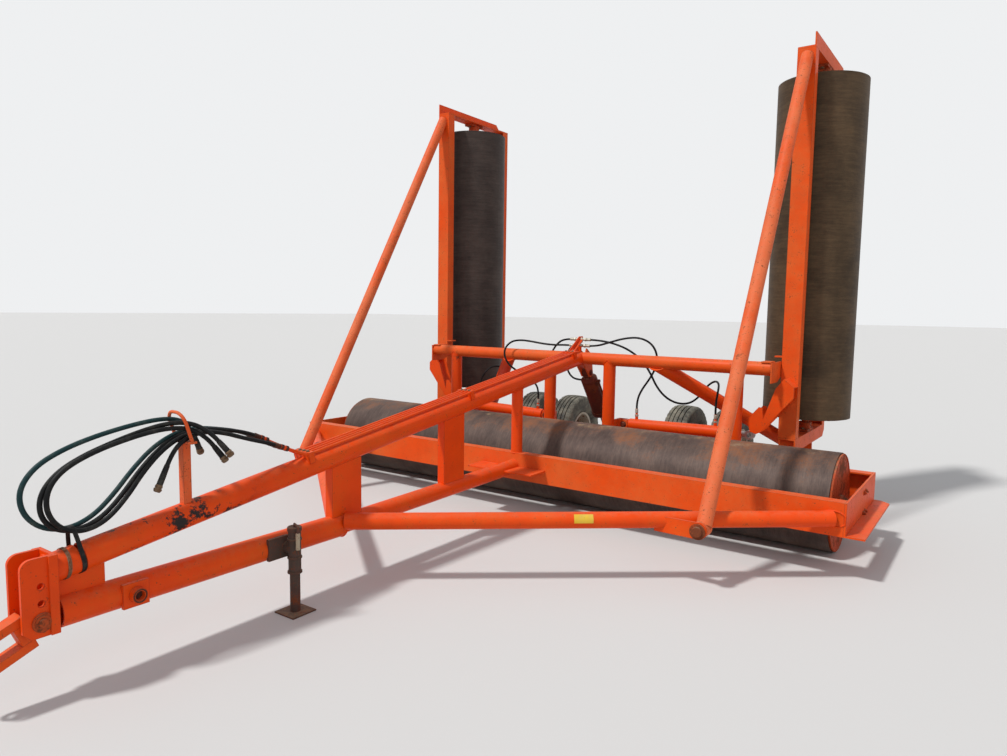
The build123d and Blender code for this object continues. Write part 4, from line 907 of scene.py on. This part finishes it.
# Hitch head: two side plates with a rounded top, a back plate and two flange bars, and the pin with its
# washers
head = {"front": -4.614, "back": -4.483, "low": 0.318, "high": 0.684, "in": 0.055, "out": 0.075,
        "round": 0.045, "cut": 0.035, "plate": 0.020, "flange": 0.012, "pinAt": (-4.534, 0.388),
        "pinR": 0.020, "washer": 0.044, "holes": (0.552, 0.473), "holeR": 0.016,
        "web": (0.010, -4.225, 0.40, 0.62), "pinHalf": 0.095, "washerThick": 0.008, "flangeBack": 0.020}
h = head


def roundHole(z):
    # pin hole in (y, z), above the hitch pin
    t = np.linspace(0, 2 * pi, 32, endpoint=False)
    return [(h["pinAt"][0] + h["holeR"] * cos(a), z + h["holeR"] * sin(a)) for a in t]


def sidePlate(x0, x1):
    # side plate in (y, z) with a straight back, a quarter circle at the upper front corner, a cut at the
    # lower one and two holes, worked out by Blender's flat curve fill
    corner = [(h["front"] + h["round"] * (1 + cos(a)), h["high"] - h["round"] * (1 - sin(a)))
              for a in np.linspace(pi / 2, pi, 9)]
    outline = [(h["back"], h["low"]), (h["back"], h["high"])] + corner
    outline += [(h["front"], h["low"] + h["cut"]), (h["front"] + h["cut"], h["low"])]
    curve = bpy.data.curves.new("side_outline", "CURVE")
    curve.dimensions = "2D"
    curve.fill_mode = "BOTH"
    curve.extrude = (x1 - x0) / 2
    for ring in [outline] + [roundHole(z) for z in h["holes"]]:
        spline = curve.splines.new("POLY")
        spline.points.add(len(ring) - 1)
        places = np.column_stack([ring, np.zeros(len(ring)), np.ones(len(ring))])
        spline.points.foreach_set("co", places.ravel())
        spline.use_cyclic_u = True
    flat = bpy.data.objects.new("side_outline", curve)
    bpy.context.scene.collection.objects.link(flat)
    mesh = bpy.data.meshes.new_from_object(flat)
    points = np.empty(len(mesh.vertices) * 3)
    mesh.vertices.foreach_get("co", points)
    along, up, across = points.reshape(-1, 3).T
    faces = [list(face.vertices) for face in mesh.polygons]
    bpy.data.curves.remove(curve)
    return np.column_stack([across + (x0 + x1) / 2, along, up]), faces


shapes = []
for side, sign in (("r", 1), ("l", -1)):
    plate = sidePlate(*sorted((sign * h["in"], sign * h["out"])))
    addPiece(f"head_side_{side}", plate, "freshPaint", "frame_paint", instead="hitch_head", bevel=0.002)
    inner, outer = sorted((sign * (h["out"] - 0.001), sign * (h["out"] + h["flange"])))
    shapes.append(boxAt((inner, h["back"] - h["flangeBack"], h["low"]),
                        (outer, h["back"] + h["plate"], h["high"])))
shapes.append(boxAt((-h["out"], h["back"], h["low"]), (h["out"], h["back"] + h["plate"], h["high"])))
webHalf, webRear, webLow, webHigh = h["web"]
shapes.append(boxAt((-webHalf, h["back"], webLow), (webHalf, webRear, webHigh)))
addPiece("head_back", joined(shapes), "freshPaint", "frame_paint", instead="hitch_head", bevel=0.002)
washers = [rod(h["washer"], h["washerThick"], (sign * h["out"], *h["pinAt"]), sign * alongX, 36)
           for sign in (1, -1)]
washers.append(rod(h["pinR"], 2 * h["pinHalf"], (-h["pinHalf"], *h["pinAt"]), alongX, 28))
addPiece("head_pin", joined(washers), "castPaint", "frame_paint", instead="hitch_head")

# Hitch link: clevis with two tines, its eye on the mount's axis
link = {"long": 0.300, "droop": radians(22), "hubR": 0.036, "hubHalf": 0.0525, "bore": 0.0205,
        "halfWide": 0.038, "low": -0.108, "high": 0.062, "tine": 0.040, "window": 0.100, "root": 0.046,
        "eye": 0.021, "inset": 0.004, "hair": 0.001}
k = link


def tineShape(low, high):
    # tine from the root to the rounded nose round the eye: half width * (cos t, sin t) at the nose, open in
    # the eye
    long, half = k["long"], k["halfWide"]
    nose = [(-long - half * cos(a), half * sin(a)) for a in np.linspace(-pi / 2, pi / 2, 25)]
    ring = np.array([(-k["root"], -half), (-0.5 * long, -half), *nose,
                     (-0.5 * long, half), (-k["root"], half)])
    angle = np.arctan2(ring[:, 1], ring[:, 0] + long)
    bore = np.column_stack([-long + k["eye"] * np.cos(angle), k["eye"] * np.sin(angle)])
    edges = ((low, bore), (low, ring), (high, ring), (high, bore), (low, bore))
    return grid(np.array([[(p[1], p[0], z) for p in edge] for z, edge in edges]), wrapV=True)


across, inset, hair = k["halfWide"], k["inset"], k["hair"]
web = boxAt((hair - across, -k["window"], k["low"] + hair),
            (across - hair, -k["root"] - hair, k["high"] - hair))
neck = boxAt((inset - across, -k["root"] - 0.010, inset - k["hubR"]),
             (across - inset, -0.024, k["hubR"] - inset))
hub = revolve([(-k["hubHalf"], k["bore"]), (-k["hubHalf"], k["hubR"]), (k["hubHalf"], k["hubR"]),
               (k["hubHalf"], k["bore"]), (-k["hubHalf"], k["bore"])], (0, 0, 0), alongX, 36)
tines = [tineShape(k["high"] - k["tine"], k["high"]), tineShape(k["low"], k["low"] + k["tine"])]
drooped = Matrix.Translation((0, *h["pinAt"])) @ Matrix.Rotation(k["droop"], 4, "X")
addPiece("clevis_link", moved(joined([*tines, web, neck, hub]), drooped), "fadedPaint", "link_iron",
         "hitch_link", "hitch_link", bevel=0.003)
print("braces and hitch")

# Fittings of the hydraulic lines: nuts and crimped sleeves at the front, clamps' bolts, unions at the rear
crimp = [(0, 0), (0, 0.0135), (0.003, 0.0150), (0.012, 0.0150), (0.013, 0.0138), (0.017, 0.0138),
         (0.018, 0.0150), (0.024, 0.0150), (0.025, 0.0138), (0.029, 0.0138), (0.030, 0.0150), (0.038, 0.0150),
         (0.041, 0.0135), (0.041, 0)]
lineFittings = {"nut": 0.019, "nutEnd": 0.01767, "nutsBack": (0.022, 0.058),
                "clampY": (-2.990, -1.380, 0.250), "clampTop": 0.104, "boltX": (-0.036, 0.0, 0.036),
                "bolt": 0.010}
f = lineFittings
lineNut = [(0, 0), (0, f["nutEnd"]), (0.003, f["nut"]), (0.017, f["nut"]), (0.020, f["nutEnd"]), (0.020, 0)]
sleeves, nuts = [], []
for letter in "abcd":
    start, after = (np.array(p) for p in hoses["front_hose_" + letter]["points"][:2])
    direction = (after - start) / np.linalg.norm(after - start)
    sleeves.append(revolve(crimp, start + 0.001 * direction, direction, 24))
    for back in f["nutsBack"]:
        nuts.append(revolve(lineNut, start - back * direction, direction, 6))
addPiece("front_crimp_sleeves", joined(sleeves), "oily", "fitting_steel")
addPiece("front_line_nuts", joined(nuts), "oily", "fitting_steel")
bolts = [hexHead(onTube(x, y, f["clampTop"]), tubeUp, f["bolt"]) for y in f["clampY"] for x in f["boltX"]]
addPiece("line_clamp_bolts", joined(bolts), "boltSteel", "fitting_steel")

unions = {"x": -0.035, "places": ((0.505, 1.455), (0.520, 1.517)), "half": 0.075, "nut": 0.020,
          "nutHigh": 0.016, "nutsOut": (0.006, 0.052), "tube": 0.0128}
shapes = []
for y, z in unions["places"]:
    for sign in (1, -1):
        for out in unions["nutsOut"]:
            spot = (unions["x"] + sign * out, y, z)
            shapes.append(hexNut(unions["nut"], unions["nutHigh"], spot, sign * alongX))
        spot = (unions["x"] + sign * (unions["half"] + 0.001), y, z)
        shapes.append(revolve(crimp, spot, sign * alongX, 24))
addPiece("bulkhead_unions", joined(shapes), "zinc", "fitting_steel")

# Fold cylinders: crimped sleeves and nuts at the ports, wiper at the gland
c = foldCylinder
bore = c["rod"] + 0.0005
wiper = [(0, bore), (0, 0.042), (0.006, 0.040), (0.009, 0.032), (0.009, bore)]
shapes = [revolve(wiper, (c["gland"], 0, 0), alongX, 32)]
for station in c["ports"]:
    shapes.append(hexNut(c["nut"], c["nut"], (station, 0, c["seat"]), alongZ))
    shapes.append(revolve(crimp, (station, 0, c["crimpAt"]), alongZ, 24))
turned = Matrix.Translation(c["base"]) @ Matrix.Rotation(-c["tilt"], 4, "Y")
addBoth("fold_cylinder_fittings_", moved(joined(shapes), turned), "zinc", "fitting_steel", "fold_barrel_")

# Lift cylinder: barrel with its gland, base eye, two ports and the pipe between them
lift = {"base": (0, 0.600, 1.180), "eye": (1.100, 0.530), "radius": 0.084, "start": 0.056,
        "ports": (0.110, 0.490), "gland": (0.512, 0.562), "glandR": 0.094, "eyeR": 0.042, "eyeBore": 0.0202,
        "eyeHalf": 0.030, "neck": 0.034, "pipe": 0.103, "pipeR": 0.009, "portOut": 0.066,
        "plug": (0.019, 0.011, 0.081)}
f = lift
glandIn, glandOut = f["gland"]
plugR, plugLong, plugOut = f["plug"]
barrel = [(f["start"], 0), (f["start"], 0.050), (f["start"] + 0.022, f["radius"] - 0.006),
          (f["start"] + 0.030, f["radius"]), (glandIn, f["radius"]), (glandIn, f["glandR"] - 0.003),
          (glandIn + 0.004, f["glandR"]), (glandOut - 0.004, f["glandR"]), (glandOut, f["glandR"] - 0.003),
          (glandOut, 0.031), (glandOut - 0.020, 0.031), (glandOut - 0.020, 0)]
eyeHalf = f["eyeHalf"]
eyeRing = [(-eyeHalf, f["eyeBore"]), (-eyeHalf, f["eyeR"]), (eyeHalf, f["eyeR"]), (eyeHalf, f["eyeBore"]),
           (-eyeHalf, f["eyeBore"])]
port = [(0, 0), (0, 0.015), (0.034, 0.015), (0.034, 0.019), (0.050, 0.019), (0.052, 0.017), (0.052, 0)]
pipeRun = [(station, -f["pipe"], 0) for station in f["ports"]]
shapes = [revolve(barrel, (0, 0, 0), alongX, 56), revolve(eyeRing, (0, 0, 0), alongY, 36),
          boxAt((f["neck"], -eyeHalf, -eyeHalf), (f["start"] + 0.004, eyeHalf, eyeHalf)),
          *[revolve(port, (station, -f["portOut"], 0), -alongY, 20) for station in f["ports"]],
          sweep(resampled(pipeRun, 0.03), f["pipeR"], 12),
          rod(plugR, plugLong, (f["ports"][0], plugOut, 0), alongY, 6)]
liftTilt = np.arctan2(f["eye"][1] - f["base"][2], f["eye"][0] - f["base"][1])
turned = Matrix.Translation(f["base"]) @ Matrix.Rotation(liftTilt, 4, "X") @ Matrix.Rotation(pi / 2, 4, "Z")
addPiece("lift_cylinder_body", moved(joined(shapes), turned), "shadedPaint", "jack_paint", "lift_barrel",
         "lift_barrel")

# Pins with their washers and split pins
pins = {"foldLug": 0.0463, "liftLug": 0.0483, "radius": 0.0200, "collar": 0.031, "hitchOut": 0.083,
        "hitchCollar": 0.034, "hinge": (1.960, -1.472, 0.406), "hingeR": 0.035, "hingeCollar": 0.052,
        "nipples": ((-1.391, 0.055), (1.545, 0.065))}
p = pins
shapes = []
for sign in (1, -1):
    for way in (1, -1):
        spot = np.array(foldCylinder["base"]) * (sign, 1, 1) + (0, way * p["foldLug"], 0)
        shapes.append(pinEnd(spot, way * alongY, p["radius"], p["collar"]))
    spot = np.array(lift["base"]) + (sign * p["liftLug"], 0, 0)
    shapes.append(pinEnd(spot, sign * alongX, p["radius"], p["collar"]))
addPiece("cylinder_base_pins", joined(shapes), "shadedPaint", "fitting_steel")
shapes = [pinEnd((sign * p["hitchOut"], *h["pinAt"]), sign * alongX, p["radius"], p["hitchCollar"])
          for sign in (1, -1)]
addPiece("hitch_pin_ends", joined(shapes), "castPaint", "fitting_steel")
radius, collar = p["hingeR"], p["hingeCollar"]
profile = [(0, 0), (0, collar), (0.006, collar), (0.006, radius), (0.020, radius), (0.024, 0.86 * radius),
           (0.024, 0)]
x, y, z = p["hinge"]
shapes = [revolve(profile, p["hinge"], -alongY, 32),
          *[nipple((x, other, z + up), alongZ) for other, up in p["nipples"]]]
addBoth("hinge_pin_ends_", joined(shapes), "castPaint", "fitting_steel")
print("fittings and pins")

# Jack: tube with its cap, seat plate and stub, collars, and the crank folded down beside it with its pale
# grip
jack = {"x": 0.150, "y": -3.205, "low": 0.240, "top": 0.520, "radius": 0.037, "bore": 0.031, "cap": 0.042,
        "capAt": 0.256, "capTop": 0.280, "ceiling": 0.277,
        "collars": ((0.240, 0.012), (0.330, 0.010), (0.440, 0.010)), "collarOut": 0.006, "reach": 0.060,
        "rod": 0.007, "grip": (0.395, 0.495), "gripR": 0.013, "stub": (0.070, 0.036, 0.385),
        "seatPlate": ((0.061, -3.335, 0.325), (0.083, -3.195, 0.455))}
j = jack
axisX, axisY, bore, cap, tubeR = j["x"], j["y"], j["bore"], j["cap"], j["radius"]
capAt, capTop, ceiling = j["capAt"], j["capTop"], j["ceiling"]
tubeWall = [(0, bore), (0, tubeR), (capAt, tubeR), (capAt, cap), (capTop - 0.004, cap), (capTop, cap - 0.004),
            (capTop, 0), (ceiling, 0), (ceiling, bore), (0, bore)]
stubX, stubR, stubZ = j["stub"]
shapes = [revolve(tubeWall, (axisX, axisY, j["low"]), alongZ, 40), boxAt(*j["seatPlate"]),
          rod(stubR, axisX - stubX, (stubX, axisY, stubZ), alongX, 32)]
addPiece("jack_body", joined(shapes), "jackPaint", "jack_paint", instead="jack_tube")
collarR = tubeR + j["collarOut"]
shapes = []
for z, high in j["collars"]:
    profile = [(0, tubeR), (0.001, collarR), (high, collarR), (high + 0.001, tubeR)]
    shapes.append(revolve(profile, (axisX, axisY, z), alongZ, 32))
gripX, gripY, (gripLow, gripHigh) = axisX + j["reach"], axisY - 0.024, j["grip"]
crank = [(axisX, axisY, j["top"]), (axisX, axisY, j["top"] + 0.012),
         (axisX + 0.012, axisY - 0.010, j["top"] + 0.020), (gripX - 0.010, axisY - 0.022, j["top"] + 0.018),
         (gripX, gripY, j["top"] + 0.006), (gripX, gripY, gripLow - 0.010)]
shapes.append(sweep(resampled(crank, 0.006), j["rod"], 10))
addPiece("jack_collars_and_crank", joined(shapes), "jackPaint", "jack_paint")
long, gripR = gripHigh - gripLow, j["gripR"]
grip = [(0, 0), (0, 0.8 * gripR), (0.004, gripR), (0.35 * long, 0.9 * gripR), (0.7 * long, 0.98 * gripR),
        (long - 0.004, gripR), (long, 0.8 * gripR), (long, 0)]
addPiece("jack_grip", revolve(grip, (gripX, gripY, gripLow), alongZ, 24), "gripPaint", "jack_paint")

# Jack's empty seat on the lower tube: dark bore and the ring round it
seat = {"at": (0.120, -4.113, 0.385), "ring": 0.031, "ringR": 0.004, "bore": 0.0235, "deep": 0.030,
        "floor": 0.002}
floorAt = np.array(seat["at"]) - (seat["deep"], 0, 0)
shapes = [rod(seat["bore"], seat["floor"], floorAt, alongX, 28),
          sweep(circle(seat["at"], alongX, seat["ring"]), seat["ringR"], 8, True)]
addPiece("jack_seat_ring", joined(shapes), "oily", "frame_paint")

# Post that holds the front hoses, with a cross plate and a bent keeper loop
holder = {"y": -3.791, "half": 0.022, "low": 0.760, "top": 1.100, "plate": 0.012, "plateHalf": 0.084,
          "loopHalf": 0.075, "loopHigh": 0.155, "lean": -0.050, "rod": 0.009, "bend": 0.060}
o = holder
cornerX, cornerUp = o["loopHalf"] - o["bend"], o["loopHigh"] - o["bend"]
loopSide = [(o["loopHalf"], -0.012), (o["loopHalf"], cornerUp * 0.5)]
loopSide += [(cornerX + o["bend"] * cos(a), cornerUp + o["bend"] * sin(a)) for a in np.linspace(0, pi / 2, 8)]
loopLine = loopSide + [(-x, up) for x, up in reversed(loopSide)]
leaned = [(x, o["y"] + o["lean"] * up / o["loopHigh"], o["top"] + up) for x, up in loopLine]
front, back = o["y"] - o["half"], o["y"] + o["half"]
shapes = [sweep(resampled(leaned, 0.006), o["rod"], 14),
          boxAt((-o["half"], front, o["low"]), (o["half"], back, o["top"] - 0.002)),
          boxAt((-o["plateHalf"], front, o["top"] - o["plate"]), (o["plateHalf"], back, o["top"]))]
addPiece("hose_holder", joined(shapes), "wornPaint", "frame_paint", instead="hose_brackets")

# Bulkhead arm behind the cross tube, and the two tubes through it
arm = {"thick": 0.010, "edge": [(.250, 1.385), (.300, 1.385), (.560, 1.490), (.560, 1.548), (.490, 1.548)]}
low, high = (unions["x"] + sign * arm["thick"] / 2 for sign in (-1, 1))
addPiece("bulkhead_arm", plateAt(arm["edge"], low, high, np.mean(arm["edge"], 0)), "freshPaint",
         "frame_paint", instead="hose_brackets", bevel=0.0015)
shapes = [rod(unions["tube"], 2 * unions["half"], (unions["x"] - unions["half"], y, z), alongX)
          for y, z in unions["places"]]
addPiece("bulkhead_tubes", joined(shapes), "zinc", "fitting_steel", instead="hose_brackets")

# Strap that ties the hoses down on the front of the upper tube, and the wire in front of it
strap = {"y": -4.345, "wide": 0.020, "tube": 0.0712, "lift": 0.158, "top": 0.044, "thick": 0.0025,
         "points": 64, "rounding": 0.55}
wire = {"y": -4.400, "size": 0.0022, "turns": 3, "step": 0.006, "radius": 0.0725}


def strapShape():
    # closed band round the tube and the hoses on it: x = width * cos t, height = reach * sin t, where the
    # width narrows from the tube's radius to the hoses' as the height grows
    s = strap
    t = np.linspace(0, 2 * pi, s["points"], endpoint=False)
    upright = np.sin(t) * np.where(np.sin(t) > 0, s["lift"], s["tube"])
    share = np.clip(upright / s["lift"], 0, 1)
    rounded = np.sign(np.cos(t)) * np.abs(np.cos(t)) ** np.where(share > 0, s["rounding"], 1)
    across = rounded * (s["tube"] + (s["top"] - s["tube"]) * share)
    centre = np.array(onTube(0, s["y"], 0))
    along = np.array((0, cos(tubeSlope), sin(tubeSlope)))
    rings = []
    for step, grow in ((-0.5, 0), (-0.5, s["thick"]), (0.5, s["thick"]), (0.5, 0)):
        scale = 1 + grow / s["tube"]
        flat = (across * scale)[:, None] * alongX + (upright * scale)[:, None] * tubeUp
        rings.append(centre + flat + step * s["wide"] * along)
    return grid(np.stack(rings, 1), wrapU=True, wrapV=True)


addPiece("hose_tie", strapShape(), "strap", "hose_rubber", angle=40)
turns = [circle(onTube(0, wire["y"] - wire["step"] * k, 0), alongY, wire["radius"])
         for k in range(wire["turns"])]
addPiece("tie_wire", joined([sweep(turn, wire["size"], 6, True) for turn in turns]), "boltSteel",
         "fitting_steel", angle=60)

# Blank decal on the right arm of the drawbar
decal = {"share": (0.459, 0.498, 9), "turn": (radians(-58), radians(6), 13), "lift": 0.0012}


def decalShape():
    # patch of the tube's wall: share s along the arm and angle t round it, t = 0 level and outwards
    start, end = (np.array(v) for v in frameWeld["arm"][:2])
    u, v, w = axes(end - start)
    share = np.linspace(*decal["share"])[:, None, None]
    t = np.linspace(*decal["turn"])[:, None]
    radius = frameWeld["arm"][2] + decal["lift"]
    return grid(start + share * (end - start) + radius * (np.cos(t) * u + np.sin(t) * v))


addPiece("blank_decal", decalShape(), "blankDecal", "frame_paint")

# Lifting tab on the cross tube above the lift cylinder
tab = {"low": (-0.062, 0.442, 1.388), "high": (0.018, 0.452, 1.452)}
addPiece("lifting_tab", boxAt(tab["low"], tab["high"]), "freshPaint", "frame_paint", bevel=0.004)
print("jack, ties and decal")
